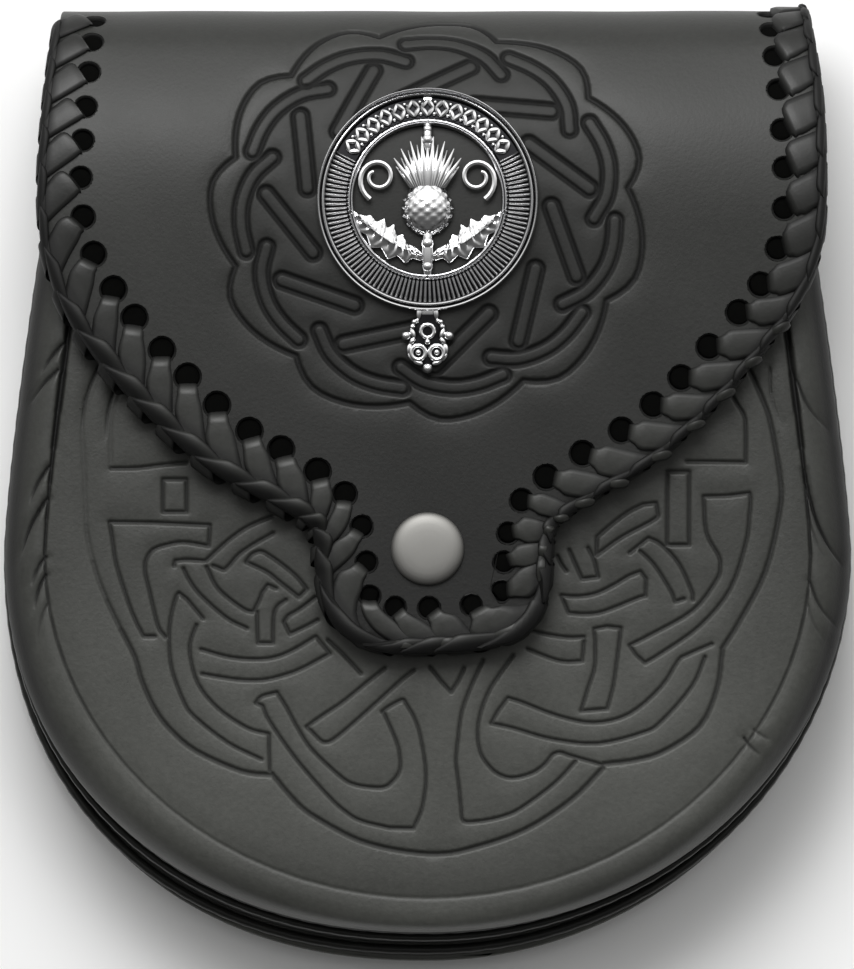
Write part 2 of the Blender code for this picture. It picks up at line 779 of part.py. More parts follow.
def make_badge(metal):
    badge = make_object("badge", badge_part(badge_ring_bmesh()), metal)
    parts = [
        ("badge_leaf_left", plate_bmesh(leaf_outline(-1), 0.2, 1.3, 0.7)),
        ("badge_leaf_right", plate_bmesh(leaf_outline(1), 0.15, 1.25, 0.7)),
        ("badge_tuft", plate_bmesh(tuft_outline(), 0.25, 1.7)),
        ("badge_stem", plate_bmesh(((-0.8, -16.4), (0.8, -16.4), (1.0, -3.0), (-1.0, -3.0)), 0.1, 1.5)),
        ("badge_crown_bar", plate_bmesh(((-0.9, 9.0), (0.9, 9.0), (0.9, 16.2), (-0.9, 16.2)), 0.1, 1.2)),
        ("badge_bulb", bulb_bmesh()),
        ("badge_drop", plate_bmesh(((-0.9, -30.4), (0.9, -30.4), (1.1, -19.6), (-1.1, -19.6)), 0.3, 1.6)),
    ]
    for name, x, y, radius in (
        ("badge_drop_upper", 0.0, -23.4, 2.0),
        ("badge_drop_left", -2.1, -27.6, 2.1),
        ("badge_drop_right", 2.1, -27.6, 2.1),
        ("badge_drop_bead", 0.1, -30.6, 1.6),
    ):
        bm = bmesh.new()
        bmesh.ops.create_icosphere(bm, subdivisions=2, radius=radius)
        bmesh.ops.scale(bm, vec=(1, 1, 0.75), verts=bm.verts)
        bmesh.ops.translate(bm, verts=bm.verts, vec=(x, y, 0.75 * radius + 0.02 * x + 0.05))
        parts.append((name, bm))
    for name, bm in parts:
        add_boolean(badge, make_helper(name, badge_part(bm)), "UNION")
    for number, up in enumerate(BADGE_POST_UPS):
        low = -FLAP_LEATHER - 2 * GAP
        profile = ((0, 0.9), (1.0, 0.9), (1.0, low), (2.1, low), (2.1, low - 0.8), (0, low - 0.8))
        post = turned_bmesh(profile, (0, up - BADGE_Y), 8)
        add_boolean(badge, make_helper(f"badge_post_{number}", badge_part(post)), "UNION")
    return badge


def bulb_bmesh():
    """The thistle's round scaly base."""
    bm = bmesh.new()
    bmesh.ops.create_uvsphere(bm, u_segments=12, v_segments=7, radius=4.4)
    bmesh.ops.scale(bm, vec=(1, 1.06, 0.72), verts=bm.verts)
    bmesh.ops.translate(bm, verts=bm.verts, vec=(0, -1.0, 0.0))
    below = [vert for vert in bm.verts if vert.co.z < 0.4]
    for vert in below:
        vert.co.z = 0.05 + 0.05 * (vert.co.z + 3.2)
    return bm


def make_belt_loop(name, x, leather):
    """A strap of leather on the back, sewn down at both ends, that a belt passes under."""
    foot_z = BACK_Z - GAP
    flat_z = LOOP_LEATHER
    top = LOOP_MIDDLE_Y + LOOP_FLAT / 2
    line = [(top + LOOP_RAMP + LOOP_FOOT, foot_z)]
    for step in range(7):
        share = step / 6
        line.append((top + LOOP_RAMP * (1 - share), foot_z + (flat_z - foot_z) * smoothstep(0, 1, share)))
    line += [(2 * LOOP_MIDDLE_Y - y, z) for y, z in reversed(line)]
    rows = [[(x + side * LOOP_WIDTH / 2, y, z) for side in (-1, 1)] for y, z in line]
    bm = sheet_bmesh(rows)
    bmesh.ops.recalc_face_normals(bm, faces=bm.faces)
    if bm.faces[:][0].normal.z < 0:
        bmesh.ops.reverse_faces(bm, faces=bm.faces)
    loop = make_object(name, bm, leather)
    add_wall(loop, LOOP_LEATHER)
    return loop


def main():
    clear_scene()
    leather = material("moulded_leather", LEATHER_BLACK, 0.45)
    thong = material("lace_leather", LACE_BLACK, 0.42)
    edge = material("edge_leather", EDGE_BLACK, 0.4)
    nickel = material("brushed_nickel", NICKEL, 0.38, 1.0)
    pewter = material("polished_pewter", PEWTER, 0.2, 1.0)
    make_pouch_front(leather)
    make_gusset(leather)
    for row in WELTS:
        make_welt(edge, *row)
    make_back_panel(leather)
    make_flap(leather)
    make_lacing(thong)
    make_snap_cap(nickel)
    make_snap_stud(nickel)
    make_badge(pewter)
    make_belt_loop("belt_loop_left", -LOOP_X, leather)
    make_belt_loop("belt_loop_right", LOOP_X, leather)


main()
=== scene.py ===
import math
import time

import bmesh
import bpy
import numpy as np
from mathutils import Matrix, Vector


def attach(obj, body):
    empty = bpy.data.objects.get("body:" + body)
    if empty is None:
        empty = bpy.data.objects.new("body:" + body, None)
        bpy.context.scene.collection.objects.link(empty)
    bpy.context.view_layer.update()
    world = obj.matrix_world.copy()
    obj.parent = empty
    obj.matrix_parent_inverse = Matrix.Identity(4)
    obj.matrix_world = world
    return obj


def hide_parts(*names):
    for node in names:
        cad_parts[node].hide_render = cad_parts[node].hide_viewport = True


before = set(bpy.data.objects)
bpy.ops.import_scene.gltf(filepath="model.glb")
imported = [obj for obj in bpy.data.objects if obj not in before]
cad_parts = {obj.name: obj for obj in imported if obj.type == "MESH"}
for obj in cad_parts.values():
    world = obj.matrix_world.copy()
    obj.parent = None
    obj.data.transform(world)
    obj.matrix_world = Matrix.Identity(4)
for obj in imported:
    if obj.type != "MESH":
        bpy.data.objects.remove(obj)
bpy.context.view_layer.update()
started = time.time()

# Shapes are drawn in millimetres and scaled to metres when a piece is finished.
mm = 0.001

# The photograph's own frame: charted points are in its pixels, 0.19 mm each, from this middle.
chart = {"mmPerPixel": 0.19, "middleX": 427.5, "middleY": 485.0, "rows": 969}


def note(stage):
    print(f"{time.time() - started:5.1f} s  {stage}", flush=True)


def fromChart(x, y):
    scale = chart["mmPerPixel"]
    return Vector(((x - chart["middleX"]) * scale, (chart["middleY"] - y) * scale))


def smoothStep(low, high, value):
    share = np.clip((value - low) / (high - low), 0.0, 1.0)
    return share * share * (3 - 2 * share)


def readTable(rows, place, column):
    # a column's value at this place, in straight lines between the rows; the first column is the place
    return float(np.interp(place, [row[0] for row in rows], [row[column] for row in rows]))


def smoothLine(points, steps):
    # a Catmull-Rom curve through the points
    line = []
    padded = [points[0] * 2 - points[1], *points, points[-1] * 2 - points[-2]]
    for before, a, b, after in zip(padded, padded[1:], padded[2:], padded[3:]):
        for step in range(steps):
            t = step / steps
            line.append(
                (a * 2 + (b - before) * t + (before * 2 - a * 5 + b * 4 - after) * t**2
                 + (a * 3 - before - b * 3 + after) * t**3) * 0.5
            )
    line.append(points[-1].copy())
    return line


def penLine(text, steps=4):
    # "x,y x,y | x,y": smooth runs through charted points, with a corner at each bar
    line = []
    for run in text.split("|"):
        points = [fromChart(*map(float, pair.split(","))) for pair in run.split()]
        if line:
            points.insert(0, line[-1])
        smooth = smoothLine(points, steps) if len(points) > 2 else points
        line += smooth[1:] if line else smooth
    return line


def gridInto(bm, across, along, place, mark=None):
    # a grid of faces whose corners go where place(i, j) says, and are painted as dark as mark(i, j) says, as
    # painted shade
    layer = bm.verts.layers.float.new("pressed") if mark else None
    for vert in bmesh.ops.create_grid(bm, x_segments=across, y_segments=along, size=1)["verts"]:
        i, j = round((vert.co.x + 1) / 2 * across), round((vert.co.y + 1) / 2 * along)
        vert.co = place(i, j)
        if mark:
            vert[layer] = mark(i, j)


def places(bm):
    return np.array([vert.co for vert in bm.verts])


def move(bm, coords):
    for vert, co in zip(bm.verts, coords):
        vert.co = co


def cutGrid(bm, geom, low, high, pitch):
    # cuts flat faces into squares
    for axis in (0, 1):
        normal = (1, 0, 0) if axis == 0 else (0, 1, 0)
        for step in range(int((high[axis] - low[axis]) / pitch) + 1):
            spot = [0, 0, 0]
            spot[axis] = low[axis] + step * pitch
            cut = bmesh.ops.bisect_plane(bm, geom=geom, dist=0.0005, plane_co=spot, plane_no=normal)
            geom = cut["geom"]


def refine(bm, layer, nearest, passes):
    # halves the faces marked in the layer wherever a line is near
    for finest, reach in passes:
        faces = [face for face in bm.faces if face[layer]]
        gaps = nearest(np.array([face.calc_center_median() for face in faces])[:, :2])
        edges = {edge for face, gap in zip(faces, gaps) if gap < reach for edge in face.edges}
        edges = [edge for edge in edges if edge.calc_length() > finest]
        bmesh.ops.subdivide_edges(bm, edges=edges, cuts=1, use_grid_fill=True)


def closeTube(bm):
    # joins the long seam of a rolled grid, fills its ends and turns its faces outwards
    bmesh.ops.remove_doubles(bm, verts=bm.verts, dist=0.002)
    bmesh.ops.holes_fill(bm, edges=[edge for edge in bm.edges if edge.is_boundary])
    bmesh.ops.recalc_face_normals(bm, faces=bm.faces)


def thicken(bm, leather, insideOut):
    # turns an open sheet's faces outwards, gives it a second skin behind, and returns that skin's corners
    bmesh.ops.recalc_face_normals(bm, faces=bm.faces)
    if insideOut(bm):
        bmesh.ops.reverse_faces(bm, faces=bm.faces)
    bm.normal_update()
    aims = {tuple(vert.co): vert.normal.copy() for vert in bm.verts}
    copied = bmesh.ops.extrude_face_region(bm, geom=bm.faces[:])
    under = {item for item in copied["geom"] if isinstance(item, bmesh.types.BMVert)}
    for vert in under:
        vert.co -= aims[tuple(vert.co)] * leather
    bmesh.ops.recalc_face_normals(bm, faces=bm.faces)
    return under


def facesDown(bm):
    return sum(face.normal.z for face in bm.faces) < 0


def slab(bm, rise, soft, segments):
    # gives a flat sheet its thickness and rounds its rims
    copied = bmesh.ops.extrude_face_region(bm, geom=bm.faces[:])
    moved = [item for item in copied["geom"] if isinstance(item, bmesh.types.BMVert)]
    bmesh.ops.translate(bm, verts=moved, vec=(0, 0, rise))
    bmesh.ops.recalc_face_normals(bm, faces=bm.faces)
    rims = [edge for edge in bm.edges if sum(abs(face.normal.z) < 0.5 for face in edge.link_faces) == 1]
    soften(bm, rims, soft, segments)


def soften(bm, edges, offset, segments):
    bmesh.ops.bevel(
        bm, geom=edges, offset=offset, offset_type="OFFSET", segments=segments, profile=0.5, affect="EDGES",
        material=-1,
    )


def flatSheet(bm, outline, low, high, pitch):
    # one face inside the outline, joined to what lies along it and cut into squares
    bm.faces.new([bm.verts.new(spot) for spot in outline])
    bmesh.ops.remove_doubles(bm, verts=bm.verts, dist=0.005)
    face = max(bm.faces, key=lambda found: len(found.verts))
    cutGrid(bm, [face, *face.edges, *face.verts], low, high, pitch)
    bmesh.ops.triangulate(bm, faces=[found for found in bm.faces if len(found.verts) > 4])


def join(bm, part):
    mesh = bpy.data.meshes.new("join")
    part.to_mesh(mesh)
    part.free()
    bm.from_mesh(mesh)
    bpy.data.meshes.remove(mesh)


def newObject(name, data):
    made = bpy.data.objects.new(name, data)
    bpy.context.scene.collection.objects.link(made)
    return made


def finishPiece(name, bm, material, replaced=(), sharp=50, marks=None):
    bmesh.ops.scale(bm, vec=(mm, mm, mm), verts=bm.verts)
    # marks: how dark each corner is painted: painted shade on the leather, tarnish in the hollows of the
    # metal
    if marks is not None:
        layer = bm.verts.layers.float.new("pressed")
        for vert, mark in zip(bm.verts, marks):
            vert[layer] = float(mark)
    mesh = bpy.data.meshes.new(name)
    bm.to_mesh(mesh)
    bm.free()
    mesh.shade_smooth()
    mesh.set_sharp_from_angle(angle=math.radians(sharp))
    mesh.materials.append(material)
    piece = newObject(name, mesh)
    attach(piece, "root")
    if replaced:
        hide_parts(*replaced)
    mesh.calc_loop_triangles()
    note(f"{name}: {len(mesh.loop_triangles)} triangles")
    return piece


def roundBar(start, end, radius, around=8, sections=6):
    # a thread or rod with rounded ends
    part = bmesh.new()
    run = end - start
    ahead = run.normalized()
    side = ahead.orthogonal()
    up = ahead.cross(side)

    def skin(i, j):
        t = j / sections
        swell = math.sin(math.pi * min(1.0, max(0.0, 0.06 + 0.88 * t))) ** 0.4
        turn = 2 * math.pi * i / around
        return start + run * t + (side * math.cos(turn) + up * math.sin(turn)) * radius * swell

    gridInto(part, around, sections, skin)
    closeTube(part)
    return part


class Presses:
    # grooves, each a line with a half width and a depth, and how deep and how near they are at any point
    def __init__(self):
        self.lines = []

    def groove(self, line, half=0.65, depth=0.5, outline=0.0, floor=0.0, taper=False, flat=0.3):
        # with an outline, the groove runs round the line at that distance, and the floor inside it sinks
        self.lines.append((np.array([(p.x, p.y) for p in line]), half, depth, outline, floor, taper, flat))

    def measure(self, points):
        dent = np.zeros(len(points))
        nearest = np.full(len(points), 50.0)
        sunk = np.zeros(len(points))
        for line, half, depth, outline, floor, taper, flat in self.lines:
            reach = outline + 6.0
            inside = (points > line.min(0) - reach) & (points < line.max(0) + reach)
            close = np.all(inside, axis=1).nonzero()[0]
            if not len(close):
                continue
            gap, along = distances(points[close], line)
            ring = np.abs(gap - outline)
            press = depth * (1 - smoothStep(flat * half, 1.15 * half, ring))
            if taper:
                press *= np.cos(np.pi / 2 * np.clip(along, 0.0, 1.0)) ** 0.7
            dent[close] = np.maximum(dent[close], press)
            nearest[close] = np.minimum(nearest[close], ring)
            if floor:
                lowered = floor * (1 - smoothStep(outline - 0.3, outline + 0.1, gap))
                sunk[close] = np.maximum(sunk[close], lowered)
        return dent, nearest, sunk

    def nearest(self, points):
        return self.measure(points)[1]


def hollow(nearest, depth, reach):
    # leather sinks softly on both sides of a groove
    return depth * np.exp(-((nearest / reach) ** 2))


def swells(coords, height, across, up, shiftX, shiftY):
    # hand-worked leather is never quite flat
    return height * np.sin(coords[:, 0] / across + shiftX) * np.sin(coords[:, 1] / up + shiftY)


def distances(points, line):
    # from each point to the line, and how far along the line that is, from 0 to 1
    starts, ends = line[:-1], line[1:]
    runs = ends - starts
    lengths = np.maximum(np.hypot(*runs.T), 1e-6)
    before = np.concatenate(([0.0], np.cumsum(lengths)))[:-1]
    best = np.full(len(points), 1e9)
    along = np.zeros(len(points))
    for start, run, length, walked in zip(starts, runs, lengths, before):
        share = np.clip(((points - start) @ run) / length**2, 0.0, 1.0)
        gap = np.hypot(*(points - start - share[:, None] * run).T)
        nearer = gap < best
        best[nearer] = gap[nearer]
        along[nearer] = (walked + share[nearer] * length) / lengths.sum()
    return best, along


class Wire:
    # a socket in a node tree: sums and products of wires add their Math nodes
    def __init__(self, tree, socket=None):
        self.tree = tree
        self.socket = socket

    def add(self, kind, settings, inputs, output=0):
        node = self.tree.nodes.new(kind)
        for name, value in settings.items():
            setattr(node, name, value)
        for key, value in inputs.items():
            self.feed(node.inputs[key], value)
        return Wire(self.tree, node.outputs[output])

    def feed(self, socket, value):
        if isinstance(value, Wire):
            self.tree.links.new(value.socket, socket)
        else:
            socket.default_value = value

    def maths(self, operation, first, second):
        return self.add("ShaderNodeMath", {"operation": operation}, {0: first, 1: second})

    def __add__(self, other):
        return self.maths("ADD", self, other)

    def __sub__(self, other):
        return self.maths("SUBTRACT", self, other)

    def __rsub__(self, other):
        return self.maths("SUBTRACT", other, self)

    def __mul__(self, other):
        return self.maths("MULTIPLY", self, other)

    __radd__ = __add__
    __rmul__ = __mul__

    def between(self, low, high, first, last):
        # eases from first at low to last at high
        settings = {"interpolation_type": "SMOOTHSTEP"}
        values = {"Value": self, "From Min": low, "From Max": high, "To Min": first, "To Max": last}
        return self.add("ShaderNodeMapRange", settings, values)

    def mixed(self, first, second):
        settings = {"data_type": "RGBA"}
        return self.add("ShaderNodeMix", settings, {0: self, 6: first, 7: second}, 2)

    def tinted(self, colour):
        return self.add("ShaderNodeVectorMath", {"operation": "SCALE"}, {0: colour, "Scale": self})

    def noise(self, where, scale, detail, roughness):
        values = {"Vector": where, "Scale": scale, "Detail": detail, "Roughness": roughness}
        return self.add("ShaderNodeTexNoise", {}, values)

    def bump(self, sockets, strength, distance, height):
        values = {"Strength": strength, "Distance": distance, "Height": height}
        self.feed(sockets["Normal"], self.add("ShaderNodeBump", {}, values))


def newMaterial(name, fixed):
    material = bpy.data.materials.new(name)
    material.use_nodes = True
    shader = material.node_tree.nodes["Principled BSDF"]
    for key, value in fixed.items():
        shader.inputs[key].default_value = value
    wire = Wire(material.node_tree)
    where = wire.add("ShaderNodeTexCoord", {}, {}, 3)
    # the darkening laid on the corners: painted shade on the leather, tarnish on the metal
    pressed = wire.add("ShaderNodeAttribute", {"attribute_name": "pressed"}, {}, 2)
    return material, shader.inputs, wire, where, pressed


dye = (0.975, 1.0, 0.91)  # the black dye has a faint olive cast


def dyed(grey):
    return (*(grey * part for part in dye), 1.0)


# Scale, detail and roughness of each noise, and how far the bumps stand in metres.
leatherNoises = {"cloud": (70, 5, 0.6), "speck": (900, 3, 0.6), "fine": (2600, 4, 0.65)}
metalNoises = {"cloud": (260, 4, 0.6), "fine": (5200, 3, 0.7)}
bumpHeights = {"leather": 0.0001, "metal": 0.00005}

# What a leather has unless its own row says otherwise.
plainLeather = {"pressed": 0.003, "shine": 0.32, "paintedLightSteps": ()}
leatherLooks = {
    # grey: how light the leather is; the darker colour beside it is painted shade, laid in what is pressed
    # into it, in holes and on the shoulders
    # the steps up the picture are painted light and shade: how the tone changes up the picture, as smooth
    # steps from one value to another
    # painted shadow: the thong's turns inside the holes are near black with almost no shine
    "holeShadowLeather": {"grey": 0.004, "pressed": 0.002, "rough": 0.8, "grain": 0.2, "shine": 0.04},
    "pouchLeather": {
        "grey": 0.038,
        "rough": 0.44,
        "grain": 0.5,
        # painted light: the face lighter low down and again at the very foot, a little darker just above the
        # foot
        "paintedLightSteps": ((-0.05, -0.005, 1.6, 1.0), (-0.075, -0.06, 0.8, 1.0), (-0.084, -0.078, 1.45, 1.0)),
    },
    "flapLeather": {
        "grey": 0.018,
        "pressed": 0.002,
        "rough": 0.46,
        "grain": 0.35,
        # painted shade and light: the lower flap darker, the top of the fold lighter
        "paintedLightSteps": ((-0.03, 0.06, 0.36, 1.0), (0.07, 0.085, 1.0, 1.15)),
    },
    "laceLeather": {
        "grey": 0.027,
        "pressed": 0.002,
        "rough": 0.4,
        "grain": 0.2,
        # painted shade: the lace darker low down and towards the top of the side columns
        "paintedLightSteps": ((-0.03, 0.03, 0.85, 1.0), (0.0, 0.055, 1.0, 0.4)),
    },
    # painted shade: the gusset is given a near-black leather because it lies in shade
    "gussetShadeLeather": {"grey": 0.010, "rough": 0.5, "grain": 0.3},
    "edgeLeather": {"grey": 0.018, "rough": 0.36, "grain": 0.15},
}


def leatherMaterial(name):
    look = {**plainLeather, **leatherLooks[name]}
    material, sockets, wire, where, pressed = newMaterial(name, {"Specular IOR Level": look["shine"]})
    cloud, speck, fine = (wire.noise(where, *noise) for noise in leatherNoises.values())
    up = wire.add("ShaderNodeSeparateXYZ", {}, {0: where}, 1)
    tone = 0.57 + cloud * 0.36 + speck * 0.5
    # painted light and shade: the tone is stepped lighter or darker up the picture
    for shade in look["paintedLightSteps"]:
        tone = tone * up.between(*shade)
    # painted shade: the leather turns to its darker colour where the corners are marked
    colour = pressed.mixed(dyed(look["grey"]), dyed(look["pressed"]))
    wire.feed(sockets["Base Color"], tone.tinted(colour))
    wire.feed(sockets["Roughness"], look["rough"] - 0.08 + cloud * 0.1 + speck * 0.06 + pressed * 0.25)
    grain = wire.add("ShaderNodeTexVoronoi", {"feature": "SMOOTH_F1"}, {"Vector": where, "Scale": 1500})
    wire.bump(sockets, look["grain"], bumpHeights["leather"], grain * 0.5 + fine * 0.6 + cloud * 0.5)
    return material


metalLooks = {
    "satinNickel": {"colour": (0.262, 0.258, 0.246), "rough": 0.56, "speck": 0.05, "bump": 0.06},
    "castSilver": {"colour": (0.86, 0.86, 0.87), "rough": 0.13, "speck": 0.06, "bump": 0.12},
    "darkSteel": {"colour": (0.40, 0.40, 0.39), "rough": 0.38, "speck": 0.08, "bump": 0.1},
}
tarnish = (0.012, 0.012, 0.013, 1.0)


def metalMaterial(name):
    look = metalLooks[name]
    material, sockets, wire, where, pressed = newMaterial(name, {"Metallic": 1.0})
    cloud, fine = (wire.noise(where, *noise) for noise in metalNoises.values())
    colour = pressed.mixed((*look["colour"], 1.0), tarnish)
    wire.feed(sockets["Base Color"], (0.93 + cloud * 0.14).tinted(colour))
    wire.feed(sockets["Roughness"], look["rough"] + (cloud + fine - 1.0) * look["speck"] + pressed * 0.3)
    wire.bump(sockets, look["bump"], bumpHeights["metal"], (fine + cloud) * 0.6)
    return material


looks = {name: leatherMaterial(name) for name in leatherLooks}
looks.update({name: metalMaterial(name) for name in metalLooks})
note("materials")


flapShape = {
    "leather": 2.4,
    "frontZ": 42.3,
    "backZ": 4.3,
    "bendStart": 57.5,
    "bendRadius": 44.0,
    "bendAngle": math.radians(35),
    "easing": 28.0,
    "camber": 1.2,
    "half": 74.0,
    "lap": 18.0,
    "lapHalf": 60.0,
    "lapCorner": 10.0,
    "lapEdge": ((68.0, 114.0), (64.2, 124.0), (61.0, 132.0)),
    "soft": 0.45,
    # the squares of the sheet: where they start, how big they are, and how they are halved near a line,
    # each time down to the first length within the second
    "gridFrom": (-72.93, -31.07),
    "pitch": 2.0,
    "refine": ((1.5, 2.6), (0.75, 1.35), (0.38, 0.95)),
    "hollow": (0.22, 2.0),
    "swells": (0.10, 13, 17, 0.6, 0.0),
    "ripple": 0.05,
}

# The line of the lace holes and how far outside it the flap ends.
holeRows = (
    # up, left, right, leftMargin, rightMargin
    (112.0, 61.8, 62.8, 6.5, 6.5),
    (104.0, 62.6, 64.2, 6.6, 6.6),
    (90.0, 63.4, 65.2, 6.7, 6.7),
    (74.0, 64.8, 66.8, 7.1, 7.2),
    (58.0, 65.9, 67.8, 7.1, 6.8),
    (47.0, 64.6, 67.0, 7.8, 7.0),
    (38.0, 60.2, 63.2, 9.2, 7.2),
    (29.0, 53.4, 55.8, 9.7, 7.5),
    (20.0, 45.0, 47.8, 9.7, 7.6),
    (11.5, 35.6, 38.4, 9.5, 7.6),
    (5.6, 25.8, 28.8, 9.0, 7.6),
    (0.8, 18.4, 21.6, 8.5, 7.5),
    (-3.6, 14.3, 17.4, 8.2, 7.4),
    (-9.0, 12.2, 15.3, 8.5, 7.8),
    (-14.8, 11.6, 14.5, 8.8, 8.2),
    (-19.6, 11.5, 14.3, 8.0, 7.8),
    (-22.4, 9.4, 11.4, 7.8, 7.6),
    (-23.4, 3.0, -3.0, 7.8, 7.8),
)

holes = {"collar": 1.3, "rim": 1.16, "outerSteps": 4, "sideSteps": 9, "innerSteps": 6}

# The middles of the holes that show, charted from the photograph.
holeChart = (
    "92,40 88,70 86,105 81,139 80,177 82,217 94,254 117,287 133,319 162,350 188,376 216,406 250,430 "
    "280,451 319,469 350,489 366,525 365,562 368,597 395,608 429,608 471,601 504,592 503,562 507,533 "
    "514,495 547,478 584,456 622,431 654,406 682,379 708,346 738,312 761,285 773,247 784,208 786,167 "
    "787,128 783,87 778,54 772,28"
)

# How the thong lies at each hole, counted from the left of the fold.
laceLooks = (
    # number, lean, inner, dark, radius, over, shift: degrees forward of straight out, how far in from
    # the edge the braid reaches, how dark the braid is painted as painted shade, how big the hole is, how far
    # the thong stands out over the edge, and how far along the edge each strip lies from its hole
    (0, 36.0, 0.5, 0.60, 1.95, 1.1, -1.1),
    (5, 40.0, 0.7, 0.50, 2.00, 1.1, -1.1),
    (8, 45.0, 2.8, 0.00, 2.35, 2.1, -0.2),
    (15, 45.0, 2.7, 0.00, 2.35, 2.2, 0.0),
    (17, 44.0, 2.2, 0.10, 1.95, 1.5, 0.0),
    (19, 46.0, 2.2, 0.20, 1.85, 1.2, 0.0),
    (21, 36.0, 2.4, 0.10, 1.95, 1.2, 0.0),
    (23, 26.0, 2.0, 0.30, 1.90, 1.1, 0.0),
    (25, 20.0, 1.6, 0.45, 1.90, 1.1, 0.0),
    (27, 43.0, 1.0, 0.60, 2.25, 1.1, 0.0),
    (33, 44.0, 0.9, 0.60, 2.25, 1.1, 0.0),
    (35, 30.0, 0.7, 0.60, 2.10, 1.1, 0.6),
    (37, 22.0, 0.7, 0.60, 2.00, 1.1, 1.1),
    (42, 22.0, 0.7, 0.60, 1.95, 1.1, 1.1),
)


def laceLook(number, column):
    return readTable(laceLooks, number, column)


def foldPath(radius):
    # how the flap turns over the pouch, stepped along its middle: how far up, its slope, y and z
    shape = flapShape
    step = 0.25
    bendEnd = shape["bendStart"] + shape["bendRadius"] * shape["bendAngle"]
    foldEnd = bendEnd + radius * (math.pi - shape["bendAngle"])
    ups = np.arange(-120.0, foldEnd + 60.0, step)
    slow = np.clip((ups - shape["bendStart"]) / shape["bendRadius"], 0.0, shape["bendAngle"])
    window = int(shape["easing"] / step)
    slow = np.convolve(slow, np.ones(window) / window, "same")
    ups, slow = ups[2 * window : -window], slow[2 * window : -window]
    slope = slow + np.clip(ups - bendEnd, 0.0, foldEnd - bendEnd) / radius
    y = ups[0] + np.cumsum(np.cos(slope)) * step - step
    z = shape["frontZ"] - np.cumsum(np.sin(slope)) * step
    return ups, slope, y, z, foldEnd


foldRadius = 16.0  # a first guess, mended until the flap ends on the back
for trial in range(6):
    fold = foldPath(foldRadius)
    foldRadius += (fold[3][-1] - flapShape["backZ"]) / 2
foldEnd = fold[4]
bendEnd = flapShape["bendStart"] + flapShape["bendRadius"] * flapShape["bendAngle"]


def flapPlace(x, up, out):
    # where a point of the flat flap lies: x across, up along its middle, out from its outer face
    x, up, out = (np.asarray(value, float) for value in (x, up, out))
    ups, slopes, ys, zs, _ = fold
    slope, y, z = np.interp(up, ups, slopes), np.interp(up, ups, ys), np.interp(up, ups, zs)
    fade = 1 - smoothStep(bendEnd - 10, bendEnd + 15, up)
    out = out - flapShape["camber"] * fade * (np.abs(x) / flapShape["half"]) ** 3
    return np.stack((x + 0 * y, y + out * np.sin(slope), z + out * np.cos(slope)), axis=-1)


def spotOn(path, place):
    # at a whole or broken place in the line of holes: the point, the way inwards, and the margin
    index = min(max(int(place), 0), len(path) - 2)
    before, after = path[max(index - 1, 0)], path[min(index + 2, len(path) - 1)]
    share = place - index
    along = (path[index + 1] - before).lerp(after - path[index], min(share, 1.0))
    spot = path[index].lerp(path[index + 1], share)
    return spot.xy, Vector((-along.y, along.x)).normalized(), spot.z


def holePlaces(path):
    # the places of the charted holes in the line, and of one more beyond each end
    ups, slopes, ys, _, _ = fold
    rising = slopes < 1.4
    line = np.array([(point.x, point.y) for point in path])
    charted = [fromChart(*map(float, pair.split(","))) for pair in holeChart.split()]
    spots = [(point.x, np.interp(point.y, ys[rising], ups[rising])) for point in charted]
    walked = np.concatenate(([0.0], np.cumsum(np.hypot(*np.diff(line, axis=0).T))))
    along = distances(np.array(spots), line)[1] * walked[-1]
    found = list(np.interp(along, walked, range(len(line))))
    return [2 * found[0] - found[1], *found, 2 * found[-1] - found[-2]]


leftRows = [Vector((-left, up, margin)) for up, left, _, margin, _ in holeRows]
rightRows = [Vector((right, up, margin)) for up, _, right, _, margin in reversed(holeRows[:-1])]
holePath = smoothLine(leftRows + rightRows, 12)
holeSpots = holePlaces(holePath)
cellSides = [(a + b) / 2 for a, b in zip(holeSpots, holeSpots[1:])]
cellSides = [2 * holeSpots[0] - cellSides[0], *cellSides, 2 * holeSpots[-1] - cellSides[-1]]


def fromEdge(place, inset):
    # the flat point this far inside the flap's edge, beside a place in the line of holes
    point, aim, margin = spotOn(holePath, place)
    return point + aim * (inset - margin)


def fromHoles(place):
    # the flat point just inside the row of holes
    point, aim, _ = spotOn(holePath, place)
    number = np.interp(place, holeSpots, range(len(holeSpots)))
    return point + aim * laceLook(number, 4) * holes["collar"]


def cellBorder(low, high):
    # round the leather that belongs to one hole, from its outer corner behind
    border = []
    for step in range(holes["outerSteps"]):
        border.append(fromEdge(low + (high - low) * step / holes["outerSteps"], 0))
    for step in range(holes["sideSteps"]):
        border.append(fromEdge(high, 0).lerp(fromHoles(high), step / holes["sideSteps"]))
    for step in range(holes["innerSteps"]):
        border.append(fromHoles(high + (low - high) * step / holes["innerSteps"]))
    for step in range(holes["sideSteps"]):
        border.append(fromHoles(low).lerp(fromEdge(low, 0), step / holes["sideSteps"]))
    return border


def lapOutline():
    # from the last laced point on the right, round the lap at the back, to the first on the left
    end = foldEnd + flapShape["lap"]
    line = []
    place = cellSides[-1]
    while place < len(holePath) - 1:
        line.append(fromEdge(place, 0))
        place += 3
    line.append(fromEdge(len(holePath) - 1, 0))
    lap = [Vector(pair) for pair in flapShape["lapEdge"]]
    for step in range(6):
        angle = math.pi / 2 * step / 5
        half = flapShape["lapHalf"] - flapShape["lapCorner"] * (1 - math.cos(angle))
        lap.append(Vector((half, end - flapShape["lapCorner"] * (1 - math.sin(angle)))))
    line += lap + [Vector((-point.x, point.y)) for point in reversed(lap)]
    place = 0.0
    while place < cellSides[0]:
        line.append(fromEdge(place, 0))
        place += 3
    return line


